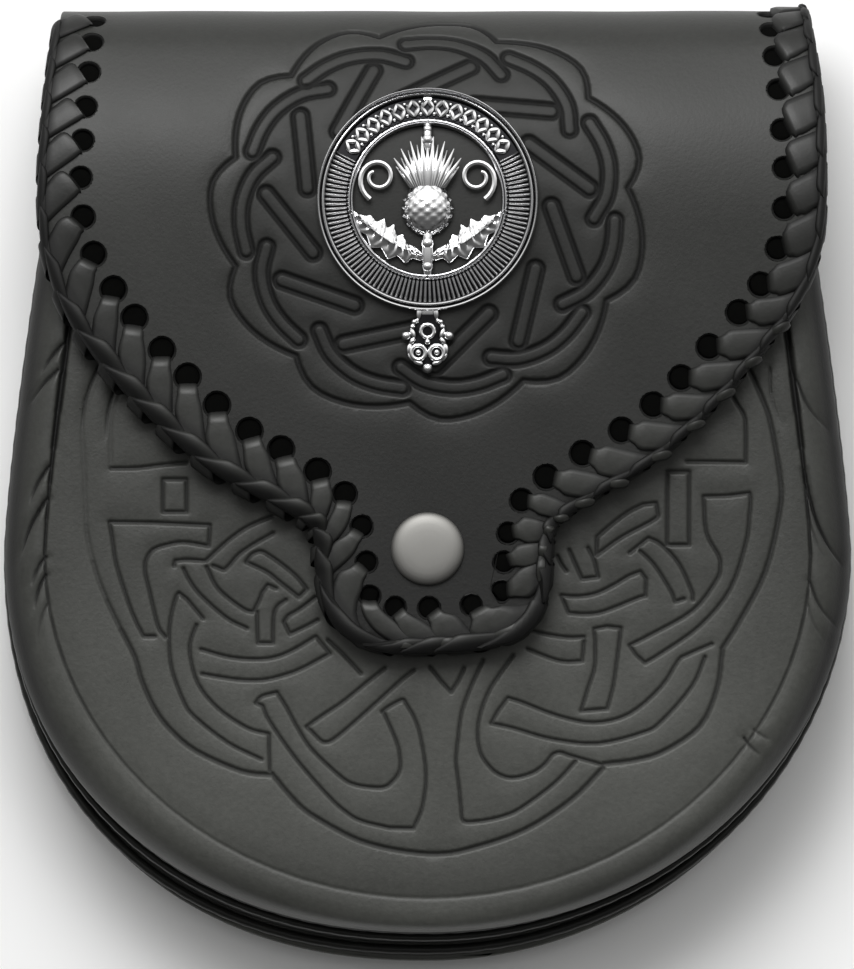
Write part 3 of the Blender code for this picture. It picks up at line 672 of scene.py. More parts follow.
def flatFlap():
    bm = bmesh.new()
    for number, place in enumerate(holeSpots):
        centre = spotOn(holePath, place)[0]
        border = cellBorder(cellSides[number], cellSides[number + 1])
        border.append(border[0])
        radius = laceLook(number, 4)

        def cell(i, j):
            aim = (border[i] - centre).normalized()
            rim = centre + aim * radius * (1.0, holes["rim"])[min(j, 1)]
            spot = rim.lerp(border[i], max(0, j - 1) / 2)
            return (spot.x, spot.y, 0)

        gridInto(bm, len(border) - 1, 3, cell)
    middle = []
    for low, high in zip(cellSides, cellSides[1:]):
        for step in range(holes["innerSteps"]):
            middle.append(fromHoles(low + (high - low) * step / holes["innerSteps"]))
    for step in range(holes["sideSteps"]):
        inner, outer = fromHoles(cellSides[-1]), fromEdge(cellSides[-1], 0)
        middle.append(inner.lerp(outer, step / holes["sideSteps"]))
    middle += lapOutline()
    for step in range(holes["sideSteps"]):
        inner, outer = fromHoles(cellSides[0]), fromEdge(cellSides[0], 0)
        middle.append(outer.lerp(inner, step / holes["sideSteps"]))
    outline = [(point.x, point.y, 0) for point in middle]
    far = (-flapShape["gridFrom"][0], foldEnd + flapShape["lap"])
    flatSheet(bm, outline, flapShape["gridFrom"], far, flapShape["pitch"])
    return bm


# The interlaced ring on the flap: eleven lobes, each with its own angles in degrees.
ringLobes = (
    # junction, curvedStart, straightStart
    (163.5, 160.3, 173.7),
    (132.9, 130.8, 141.7),
    (104.1, 96.9, 109.6),
    (70.2, 64.5, 75.0),
    (37.4, 30.3, 41.0),
    (7.0, -3.0, 8.3),
    (-27.7, -34.7, -24.7),
    (-61.8, -66.5, -56.4),
    (-95.3, -98.0, -87.6),
    (-131.1, -133.9, -121.3),
    (-163.4, -167.0, -153.7),
)
ring = {
    "middleX": 0.15,
    "middleUp": 52.0,
    "flatten": 0.955,
    "junction": 38.2,
    "peak": 41.6,
    "peakAt": 0.68,
    "lobeGroove": (0.62, 0.5),
    "barGroove": (0.52, 0.48),
    "curvedRadii": ((0, 35.5), (-8, 35.7), (-16, 35.4), (-25, 34.0), (-33, 31.5)),
    "curvedHalf": 1.33,
    "straightOuter": 31.0,
    "straightInner": 23.4,
    "straightTurn": 27.0,
    "straightHalf": 1.45,
    "floor": 0.16,
    # how much shade is painted on the leather inside the ring
    "shade": 0.34,
}


def onRing(degrees, radius):
    angle = math.radians(degrees)
    up = ring["middleUp"] + radius * math.sin(angle) * ring["flatten"]
    return Vector((ring["middleX"] + radius * math.cos(angle), up))


def flapPresses():
    presses = Presses()
    for number, (junction, curved, straight) in enumerate(ringLobes):
        after = ringLobes[(number + 1) % len(ringLobes)][0]
        if after > junction:
            after -= 360
        line = []
        for step in range(13):
            share = step / 12
            rising, falling = share / ring["peakAt"], (share - ring["peakAt"]) / (1 - ring["peakAt"])
            rise = math.sin(math.pi / 2 * rising) if rising < 1 else math.cos(math.pi / 2 * falling)
            radius = ring["junction"] + (ring["peak"] - ring["junction"]) * rise
            line.append(onRing(junction + (after - junction) * share, radius))
        presses.groove(line, *ring["lobeGroove"])
        curve = smoothLine([onRing(curved + turn, radius) for turn, radius in ring["curvedRadii"]], 4)
        presses.groove(curve, *ring["barGroove"], ring["curvedHalf"], ring["floor"])
        start = onRing(straight, ring["straightOuter"])
        end = onRing(straight + ring["straightTurn"], ring["straightInner"])
        presses.groove([start, end], *ring["barGroove"], ring["straightHalf"], ring["floor"])
    return presses


# The stitches that hold the end of the flap to the back.
lapStitches = {
    "xs": np.linspace(-46.0, 46.0, 25),
    "ends": (-1.35, 1.35),
    "inset": 3.2,
    "out": 0.12,
    "radius": 0.34,
}


def makeFlap():
    bm = flatFlap()
    note(f"flat flap: {len(bm.faces)} faces")
    slab(bm, -flapShape["leather"], flapShape["soft"], 2)
    layer = bm.faces.layers.int.new("outer")
    for face in bm.faces:
        face[layer] = all(vert.co.z > -0.01 for vert in face.verts)
    presses = flapPresses()
    refine(bm, layer, presses.nearest, flapShape["refine"])
    coords = places(bm)
    dent, nearest, sunk = presses.measure(coords[:, :2])
    dip = hollow(nearest, *flapShape["hollow"])
    wave = swells(coords, *flapShape["swells"])
    wave += flapShape["ripple"] * np.sin(coords[:, 0] / 5.2 + coords[:, 1] / 6.1)
    outer = coords[:, 2] > -0.05
    out = coords[:, 2] - np.where(outer, dent + sunk + dip, 0) + wave
    move(bm, flapPlace(coords[:, 0], coords[:, 1], out))
    bmesh.ops.recalc_face_normals(bm, faces=bm.faces)
    # painted shade: grooves and the sunk floors of the ring are painted darker
    marks = np.where(outer, np.clip(dent / 0.45, 0, 1) + sunk / ring["floor"] * 0.15, 0)
    # painted shade on the leather inside the ring
    middle = onRing(0, 0)
    inside = np.hypot(coords[:, 0] - middle.x, (coords[:, 1] - middle.y) / ring["flatten"])
    marks = np.where(outer, marks + ring["shade"] * (1 - smoothStep(33.0, 38.0, inside)), marks)
    # painted shadow: the walls of the lace holes are painted fully dark
    for number, place in enumerate(holeSpots):
        centre = spotOn(holePath, place)[0]
        near = np.hypot(coords[:, 0] - centre.x, coords[:, 1] - centre.y) < laceLook(number, 4) + 0.15
        marks[near] = 1.0
    for x in lapStitches["xs"]:
        up = foldEnd + flapShape["lap"] - lapStitches["inset"]
        start, end = (Vector(flapPlace(x + reach, up, lapStitches["out"])) for reach in lapStitches["ends"])
        stitch = roundBar(start, end, lapStitches["radius"])
        marks = np.concatenate((marks, np.zeros(len(stitch.verts))))
        join(bm, stitch)
    return finishPiece("leatherFlap", bm, looks["flapLeather"], ("flap",), 170, marks)


makeFlap()


pouch = {
    "widestY": -13.0,
    "mouthY": 70.0,
    "drawIn": 10.9,
    "drawPower": 1.3,
    "backZ": 7.0,
    "backLeather": 2.4,
    "faceZ": 36.5,
    "dome": 0.8,
    "thinning": 0.12,
    "thinningY": 15.0,
    "shellLeather": 2.0,
    "gussetLeather": 1.8,
    "sideColumns": 64,
    "footColumns": 200,
    "shoulderRows": 30,
    "flatAbove": 28.0,
    "pressedAbove": 24.0,
    "gridFrom": (-69.13, -74.87),
    "gridTo": (70.0, 70.0),
    "pitch": 2.0,
    "refine": ((1.5, 2.3), (0.75, 1.25), (0.4, 0.9)),
    "hollow": (0.2, 1.9),
    "swells": (0.12, 11, 14, 1.0, 0.4),
}

# The moulded front from its seam over the shoulder to the flat face.
frontRows = (
    # halfWidth, footDepth, leftPower, height
    (78.4, 71.0, 2.18, 19.6),
    (79.6, 71.4, 2.16, 23.0),
    (80.3, 72.0, 2.14, 27.5),
    (79.6, 71.9, 2.12, 31.6),
    (77.4, 71.0, 2.06, 34.8),
    (74.8, 68.6, 2.0, 36.2),
    (72.4, 65.1, 2.0, 36.35),
    (69.2, 61.8, 2.0, 36.5),
)
gussetRows = (
    # halfWidth, footDepth, leftPower, height
    (78.2, 70.8, 2.18, 19.3),
    (78.7, 72.0, 2.2, 17.0),
    (78.9, 73.2, 2.22, 14.6),
    (78.6, 73.9, 2.24, 12.2),
    (78.2, 74.0, 2.25, 9.7),
)
welts = (
    # name, radius, replaced, halfWidth, footDepth, leftPower, height
    ("frontPiping", 0.7, "front_welt", 79.5, 73.0, 2.18, 19.4),
    ("backPiping", 0.9, "back_welt", 79.6, 75.3, 2.25, 10.65),
)
panelRow = (79.2, 77.4, 2.25)  # halfWidth, footDepth, leftPower


def pouchPlace(share, halfWidth, footDepth, leftPower, top=70.0):
    # a point of the outline, from 0 at the left of the mouth, under the foot, to 1 at its right
    side, foot = pouch["sideColumns"], pouch["footColumns"]
    column = share * (2 * side + foot)
    if column < side or column > side + foot:
        column = min(column, 2 * side + foot - column)
        y = top + (pouch["widestY"] - top) * column / side
        rise = max(0.0, (y - pouch["widestY"]) / (pouch["mouthY"] - pouch["widestY"]))
        x = halfWidth - pouch["drawIn"] * rise ** pouch["drawPower"]
        return (-x if share < 0.5 else x), y
    angle = math.pi * (column - side) / foot
    across, down = math.cos(angle), max(0.0, math.sin(angle))
    bend = 2 / leftPower if across > 0 else 1.0
    across = math.copysign(abs(across) ** bend, across)
    return -halfWidth * across, pouch["widestY"] - footDepth * down**bend


def thinned(y, z):
    floor = pouch["backZ"] + pouch["backLeather"]
    loss = pouch["thinning"] * smoothStep(pouch["thinningY"], pouch["mouthY"], y)
    return floor + (z - floor) * (1 - loss)


def onPouch(share, halfWidth, footDepth, leftPower, height):
    x, y = pouchPlace(share, halfWidth, footDepth, leftPower)
    return x, y, float(thinned(y, height))


def rowBetween(rows, place):
    # the four values of a row, smoothly between the rows of a table
    index = min(int(place), len(rows) - 2)
    points = [np.array(rows[max(0, min(len(rows) - 1, index + k))]) for k in (-1, 0, 1, 2)]
    before, a, b, after = points
    t = place - index
    bend = (2 * before - 5 * a + 4 * b - after) * t**2
    return 0.5 * (2 * a + (b - before) * t + bend + (3 * a - before - 3 * b + after) * t**3)


# The knotwork, charted from the photograph: a bar is a corner.
wideLines = {
    "leftBorder": "121,630 134.8,657 142,681 154.7,709 170.7,730 196,751 241,771 271,775",
    "footBorder": (
        "272,774 288.6,794 304.6,810 325,823 351,837 373.5,845 402,851 437,854 469,849 523.5,830.5 "
        "571,800 603,768"
    ),
    "lowerRightBorder": "604,764 635.7,760 664.4,751 700,726 717,688 722.5,649",
    "rightBorder": "722,649 738.5,623 765,572 779.5,511.6 780.3,480 770.7,424 762.7,400 752,376 740,352",
}
narrowLines = {
    "upperLeftCell": "110.9,468.4 | 138.8,467.8 161,465 186.6,462.5",
    "smallSquare": "162.9,479.3 | 186.6,479.3 | 186.6,512 | 162.9,512 | 162.9,479.3",
    "leftFlag": (
        "109.3,522 | 154.7,522.7 | 210,525.2 | 208.6,546 | 183.4,542.3 164.3,545.5 153,550 146.5,559 "
        "145,571 149,589 158,626 166,637.5"
    ),
    "innerLeft": "109.3,522 112.5,540 116.5,565.4 129.2,605 137.2,624.4 | 143.6,636.3 | 154.7,636.3",
    "bigArcOuter": (
        "203,618.5 194.6,608.4 | 186.6,599 | 178.8,593 | 175.4,599 170.7,618 169.2,637 171.5,668 "
        "183.4,701 194.6,717 228,743 261.5,759.5"
    ),
    "bigArcInner": "196.5,625 191,640 190,655 198,684 218,708.5 247,728 268.7,734 | 269.8,771",
    "crossBandCap": "173.9,566 | 175,561 | 186.6,559.8 205.7,561",
    "crossLeft": "183.4,568.6 189.8,581 201,595.7 226.5,618 247,628.4",
    "crossRight": (
        "206.5,567 218.5,589.3 242.4,608.4 253,612.2 | 258.4,602 262.3,592.5 | 267.8,585 | 276,588.5"
    ),
    "upperDiagonal": "205.7,561 223.3,544.7 236,534.5 250.4,525.5 272.7,516",
    "lowerDiagonal": "212.9,565.8 | 224,570.2 | 229.6,565 237.6,555.8 250.4,546.3 273.5,533",
    "thinBand": (
        "246,562 252,554.5 261,551.5 270,556 284,566 297,577 307,589 | 299,597 | 281,583 267,572 "
        "246,562"
    ),
    "uprightLeft": "257,612 257.5,630 258,643 | 273,643 | 273.5,618 277,607 286,600",
    "sideBand": "316,597 300,609 288,616 | 284,622 | 290,634 | 306,626.5 318,620",
    "longBandUpper": "201,649.5 226,656.5 245,659 265,659 281,655.5 297,648 316,636.5 | 330,653.5",
    "longBandLower": "202,674 222,677.5 242,680 263,680 283,675.5 302,668.5 330,653.5",
    "shortDiagonal": "328,640 345,656 361,673.5",
    "tongueBandUpper": "306.5,727 322,716 341.6,703 359,689 385,668",
    "tongueBandLower": "306.5,727 | 313,733 320,740 326,742.5 337,737 369,709.5 402,679.5 414,670",
    "heartInner": (
        "262.7,706 | 255.5,703 | 262,696.5 277,692.5 | 287.4,709.4 298.6,730 313,751 342,778 356,785 "
        "373.5,787.6 385,787 393,781 399.5,771 400,758 396.5,742 384,713"
    ),
    "heartOuter": (
        "262.7,706 270,722 297,760.5 329,797 345,811.5 361,821 389.4,828 | 413.4,828.5 | 422,808 "
        "426,775 420.5,737 414,717.5 405,702 | 402,700 389.4,706.5 382,712"
    ),
    "smallPeak": "430,667 441,681 | 451,692 | 458,681 464,668",
    "rightHeartOuter": (
        "483,660 472,684 462,711 458,738 456,762 459,787 462,819 | 466,822 482,821 501,817 520,809 "
        "554,784 576,761"
    ),
    "rightHeartInner": (
        "603,765 571,756 560,752.5 552,755.5 544,765 531.5,773.5 512.3,778 498,774 488,765 480.5,753 "
        "477.5,735 480,715 490,689 513,655"
    ),
    "lowerBandUpper": (
        "491,723.5 498,711 | 508,698 | 523.5,703 558,716 594,722.8 629.3,714 661,687 678,661 687,655 "
        "712,644"
    ),
    "lowerBandLower": "491,723.5 514,728.5 551,739 597,743.6 642,733 661,722 691.5,687 705,657",
    "rightUpright": (
        "607,709 | 581,711 | 588,688 594.5,667 595,641 | 594,629 | 607,626.5 | 621,628 | 619.5,640 "
        "613.5,684 607,709"
    ),
    "shortBandUpper": "531,630.5 547,634.5 568,637.5 584,637",
    "shortBandLower": "527,649 554,659.5 568,662 | 582,661 | 584,641",
    "rightThinSlot": (
        "596,555.5 | 597,537 | 612,524 628,512 643,504.5 | 656,503 | 657.5,511 | 655,519 622,537 "
        "596,555.5"
    ),
    "tallFrame": "667,471.7 | 689,471.7 | 689,545 | 667,545 | 667,471.7",
    "upperRightCell": "716,368 734.5,400 744,416 745.7,432 745.7,462.5 | 742,462.3 | 686.7,461.5",
    "rightFlag": (
        "703.5,496.5 | 728,495.7 749.5,493 | 750.5,502 749,520 745.7,543.5 729.7,590 699.4,626.4 "
        "661,653.5 645,663 | 636,655 | 629.5,645.5 | 651.6,634.4 693,610.5 716,581 720,568 718.6,556 "
        "706.5,533 703.5,496.5"
    ),
    "rightBandOuter": "629.5,553 | 648.5,538 | 661,544.5 679,564 691.5,591 693,600",
    "rightBandInner": "640,551 655,566 671,591.5 675,602 | 684,599",
    "rightShortBand": (
        "561,595.5 578,596.5 596,593.5 613,585.5 629,576 | 640.5,571.5 | 646,579 | 645.5,596 | "
        "638,598 604,611.5 586,614 568.5,613 | 561,595.5"
    ),
    "stub": "569,550 576.5,567 582,579 | 598,577 | 594,560 588,548",
    "tinyStub": "557,556 561,564 566,571",
}

faintLines = {
    # depth, line
    "leftBorderTop": (0.14, "112,345 100,368 92.5,390 84,414 82.2,431.5 83.8,462 86.2,525.5"),
    "leftBorderMiddle": (0.20, "86.2,525.5 88,540 93,562"),
    "leftBorderLow": (0.28, "93,562 99,581 107,601"),
    "leftBorderLowest": (0.36, "107,601 114,616 121,630"),
    "upperLeftSide": (0.15, "136,352 121,390 113.3,409 110.4,430 110.9,468.4"),
}

# Creases where the moulding has puckered: charted ends, and how strong each is.
puckers = (
    # x, y, endX, endY, strength
    (66, 342, 40, 374, 1.0),
    (58, 370, 29, 404, 0.8),
    (50, 466, 29, 503, 1.0),
    (48, 498, 20, 556, 1.2),
    (46, 557, 31, 586, 0.8),
    (46, 575, 34, 610, 0.9),
    (48, 604, 37, 642, 0.4),
    (796, 379, 830, 430, 0.6),
    (804, 470, 843, 566, 1.3),
    (807, 503, 826, 560, 0.4),
    (809, 580, 838, 628, 0.6),
    (807, 600, 824, 640, 0.3),
    (744, 738, 762, 756, 0.6),
    (754, 730, 772, 740, 0.4),
    (99, 366, 82, 435, 0.7),
    (121, 376, 106, 440, 0.7),
    (770, 368, 781, 424, 0.4),
)
puckerShape = {"sag": 0.07, "fineHalf": 0.42, "fineDepth": 0.65, "wideHalf": 1.25, "wideDepth": 0.3}

# The crease that parts the shoulder from the flat face: its halfWidth, footDepth and leftPower.
creaseRow = (72.8, 65.5, 2.0)
creaseLooks = (
    # y, half, depth
    (-80.0, 0.6, 0.24),
    (-60.0, 0.5, 0.3),
    (-45.0, 0.42, 0.54),
    (-20.0, 0.38, 0.76),
    (-6.0, 0.42, 1.15),
    (3.0, 0.55, 1.4),
    (12.0, 0.8, 1.7),
    (60.0, 1.05, 1.95),
)
grooves = {"wideHalf": 0.58, "narrowHalf": 0.45, "faintHalf": 0.55, "depth": 0.45}

# Painted shade: the shoulder is painted darker than the face, from this height down, a little less on the
# left; its foot isn't.
shoulderShade = {"from": 36.3, "fall": 3.6, "left": 0.9, "right": 1.0, "level": 36.0, "footY": (-78.0, -35.0)}


def pouchPresses():
    presses = Presses()
    for text in wideLines.values():
        presses.groove(penLine(text), grooves["wideHalf"], grooves["depth"])
    for text in narrowLines.values():
        presses.groove(penLine(text), grooves["narrowHalf"], grooves["depth"])
    for depth, text in faintLines.values():
        presses.groove(penLine(text), grooves["faintHalf"], depth)
    for x, y, endX, endY, strength in puckers:
        start, end = fromChart(x, y), fromChart(endX, endY)
        sag = Vector(((end.y - start.y) * puckerShape["sag"], (start.x - end.x) * puckerShape["sag"]))
        line = [start.lerp(end, k / 8) + sag * math.sin(math.pi * k / 8) for k in range(9)]
        fine, wide = puckerShape["fineDepth"] * strength, puckerShape["wideDepth"] * strength
        presses.groove(line, puckerShape["fineHalf"], fine + wide, taper=True, flat=0.0)
        presses.groove(line, puckerShape["wideHalf"], wide, taper=True, flat=0.0)
    outline = [Vector(pouchPlace(0.02 + 0.96 * k / 60, *creaseRow)) for k in range(61)]
    for a, b in zip(outline, outline[1:]):
        half, depth = (readTable(creaseLooks, (a.y + b.y) / 2, column) for column in (1, 2))
        presses.groove([a, b], half, depth, flat=-0.5)
    return presses


def evenRows(table, count):
    # rows evenly spaced along the profile that a table gives
    fine = np.linspace(0, len(table) - 1, 401)
    profile = [rowBetween(table, place) for place in fine]
    walk = [0.0]
    for a, b in zip(profile, profile[1:]):
        walk.append(walk[-1] + math.hypot(b[0] - a[0], b[3] - a[3]))
    return [rowBetween(table, place) for place in np.interp(np.linspace(0, walk[-1], count + 1), walk, fine)]


def pouchSheet():
    # the moulded sheet, its face slightly domed
    bm = bmesh.new()
    columns, rows = 2 * pouch["sideColumns"] + pouch["footColumns"], pouch["shoulderRows"]
    table = evenRows(frontRows, rows)

    def shoulder(i, j):
        return onPouch(i / columns, *table[j])

    gridInto(bm, columns, rows, shoulder)
    rim = [shoulder(i, rows) for i in range(columns + 1)]
    flatSheet(bm, rim, pouch["gridFrom"], pouch["gridTo"], pouch["pitch"])
    coords = places(bm)
    halfWidth, footDepth = frontRows[-1][:2]
    below = np.minimum(0.0, coords[:, 1] - pouch["widestY"])
    spread = np.sqrt((coords[:, 0] / halfWidth) ** 2 + (below / footDepth) ** 2)
    dome = thinned(coords[:, 1], pouch["faceZ"] + pouch["dome"] * (1 - np.clip(spread, 0, 1) ** 2))
    coords[:, 2] = np.where((spread < 0.999) & (coords[:, 2] > pouch["flatAbove"]), dome, coords[:, 2])
    move(bm, coords)
    return bm


def makePouchFront():
    bm = pouchSheet()
    layer = bm.faces.layers.int.new("outer")
    under = thicken(bm, pouch["shellLeather"], facesDown)
    for face in bm.faces:
        face[layer] = not any(vert in under for vert in face.verts)
    presses = pouchPresses()
    refine(bm, layer, presses.nearest, pouch["refine"])
    bm.normal_update()
    outer = np.array([any(face[layer] for face in vert.link_faces) for vert in bm.verts])
    coords = places(bm)
    normals = np.array([vert.normal for vert in bm.verts])
    dent, nearest, _ = presses.measure(coords[:, :2])
    high = outer & (coords[:, 2] > pouch["pressedAbove"])
    dent = np.where(high, dent, 0)
    dip = np.where(high, hollow(nearest, *pouch["hollow"]), 0)
    wave = np.where(outer, swells(coords, *pouch["swells"]), 0)
    move(bm, coords - normals * (dent + dip + wave)[:, None])
    # painted shade: the shoulders darken towards the pouch's edge, and grooves darken with their depth
    floor, level = pouch["backZ"] + pouch["backLeather"], shoulderShade["level"]
    full = floor + (coords[:, 2] - floor) * (level - floor) / (thinned(coords[:, 1], level) - floor)
    shade = np.where(coords[:, 0] < 0, shoulderShade["left"], shoulderShade["right"])
    shade *= smoothStep(0.0, shoulderShade["fall"], shoulderShade["from"] - full)
    shade *= smoothStep(*shoulderShade["footY"], coords[:, 1])
    marks = np.maximum(np.clip(dent / 0.5 - 0.1, 0, 1), shade)
    leather = looks["pouchLeather"]
    return finishPiece("pouchFace", bm, leather, ("pouch_front",), 170, marks)


makePouchFront()


def footFacesIn(bm):
    return min(bm.faces, key=lambda face: face.calc_center_median().y).normal.y > 0


def makeGusset():
    bm = bmesh.new()
    columns, rows = 200, 12

    def side(i, j):
        return onPouch(i / columns, *rowBetween(gussetRows, (len(gussetRows) - 1) * j / rows))

    gridInto(bm, columns, rows, side)
    thicken(bm, pouch["gussetLeather"], footFacesIn)
    return finishPiece("sideGusset", bm, looks["gussetShadeLeather"], ("gusset",), 60)


makeGusset()


def makePiping(name, radius, replaced, *row):
    bm = bmesh.new()
    columns, around, twist = 300, 10, 0.05
    spots = [Vector(onPouch(i / columns, *row)) for i in range(columns + 1)]

    def bead(i, j):
        ahead = (spots[min(i + 1, columns)] - spots[max(i - 1, 0)]).normalized()
        outward = ahead.cross(Vector((0, 0, 1))).normalized()
        upward = outward.cross(ahead)
        angle = 2 * math.pi * j / around
        reach = radius + twist * math.sin(i * 1.9)
        return spots[i] + (outward * math.cos(angle) + upward * math.sin(angle)) * reach

    gridInto(bm, columns, around, bead)
    closeTube(bm)
    return finishPiece(name, bm, looks["edgeLeather"], (replaced,), 60)


for row in welts:
    makePiping(*row)

backPanel = {
    "top": 75.0,
    "corner": 12.0,
    "columns": 200,
    "soft": 0.6,
    "gridFrom": (-78.3, -89.4),
    "gridTo": (80.0, 76.0),
    "pitch": 6.0,
}


def makeBackPanel():
    bm = bmesh.new()
    top, corner, columns = backPanel["top"], backPanel["corner"], backPanel["columns"]
    points = [Vector(pouchPlace(i / columns, *panelRow, top - corner)) for i in range(columns + 1)]
    half = points[-1].x
    for step in range(1, 9):
        angle = math.pi / 2 * step / 8
        points.append(Vector((half - corner * (1 - math.cos(angle)), top - corner * (1 - math.sin(angle)))))
    points += [Vector((-point.x, point.y)) for point in reversed(points[-8:])]
    outline = [(point.x, point.y, 0) for point in points]
    flatSheet(bm, outline, backPanel["gridFrom"], backPanel["gridTo"], backPanel["pitch"])
    slab(bm, pouch["backLeather"], backPanel["soft"], 3)
    bmesh.ops.translate(bm, verts=bm.verts, vec=(0, 0, pouch["backZ"]))
    return finishPiece("backPanel", bm, looks["pouchLeather"], ("back_panel",), 50)


makeBackPanel()

thong = {
    "sections": 14,
    "around": 12,
    "lip": 0.8,  # half the width in the hole, against the hole's radius
    "fill": 0.48,  # half the width at the edge, against the pitch
    "deep": 2.3,
    "thick": 0.45,
    "plugClear": 0.08,
    "plugOut": -0.95,
    "droop": 0.35,
    # painted shade: how dark the thong's side edges are painted
    "edgeDark": 0.75,
    "lobeLean": 34.0,
    "lobeThick": 0.7,
    "lobeOut": 0.9,
    "lobeLong": 1.2,
    # painted shade on the outer half of the braid lobes and on the turn round the edge
    "lobeDark": 0.95,
    "wrapDark": 0.75,
    "barLong": 4.0,
    "barHalf": 0.9,
}

# Where the thong shows as a short bar at the ends of the strips, from the tongue to the right column.
thongBars = (
    # number, forward, inset, turn: from its hole, in from the edge, and degrees outwards
    (20, 2.3, 0.9, 0.0),
    (22, 4.0, 1.3, 0.0),
    (24, 3.6, 0.9, 5.0),
    (26, 3.2, -0.4, 20.0),
    (28, 3.2, -0.8, 27.0),
    (33, 3.0, -0.7, 27.0),
)


def pitchPlace(number, share):
    # a place in the line of holes, in pitches from this hole onwards
    before = 2 * holeSpots[0] - holeSpots[1]
    after = 2 * holeSpots[-1] - holeSpots[-2]
    spots = [before, *holeSpots, after, 2 * after - holeSpots[-1]]
    spot = number + share + 1
    low = max(0, min(len(spots) - 2, int(math.floor(spot))))
    return spots[low] + (spots[low + 1] - spots[low]) * (spot - low)


def pitchAt(number):
    before, after = pitchPlace(number, -0.5), pitchPlace(number, 0.5)
    return (spotOn(holePath, after)[0] - spotOn(holePath, before)[0]).length


def droop(inset):
    # how far a thong that stands out over the edge bends down
    return max(0.0, -inset) ** 1.6


def ribbon(bm, number, guide, side=1):
    # a thong along which guide(t) says where its middle is, how wide and thick it is, and how dark it is
    # painted as painted shade
    part = bmesh.new()
    around, sections = thong["around"], thong["sections"]
    base = 0.0 if side > 0 else -flapShape["leather"]
    pitch = max(3.0, pitchAt(number))
    stops = [guide(j / sections) for j in range(sections + 1)]

    def skin(i, j):
        at = stops[j]
        turn = 2 * math.pi * i / around
        across, rise = math.cos(turn), math.sin(turn)
        across = at["half"] * math.copysign(abs(across) ** 0.6, across)
        rise = at["thick"] * math.copysign(abs(rise) ** 0.8, rise)
        lean = math.radians(at["lean"])
        sheared = at.get("sheared", 0.0)
        forward = at["forward"] + across * (math.cos(lean) * (1 - sheared) + sheared / math.cos(lean))
        inset = at["inset"] + across * math.sin(lean) * (1 - sheared)
        spot = fromEdge(pitchPlace(number, forward / pitch), inset)
        level = at["out"] + rise - thong["droop"] * droop(inset)
        return flapPlace(spot.x, spot.y, base + side * level)

    # painted shade: the thong's side edges and, where asked, the outer half of a lobe are painted darker
    def dark(i, j):
        at = stops[j]
        across = math.cos(2 * math.pi * i / around)
        edge = thong["edgeDark"] if abs(across) > 0.8 else 0.0
        outer = at.get("outerDark", 0.0) * float(smoothStep(0.75, -0.35, across))
        return min(1.0, at["dark"] + edge + outer)

    gridInto(part, around, sections, skin, dark)
    closeTube(part)
    join(bm, part)


def bend(t, *stops):
    # the value at t of a smooth run through (place, value) stops
    for (low, first), (high, last) in zip(stops, stops[1:]):
        if t <= high:
            return first + (last - first) * float(smoothStep(low, high, t))
    return stops[-1][1]


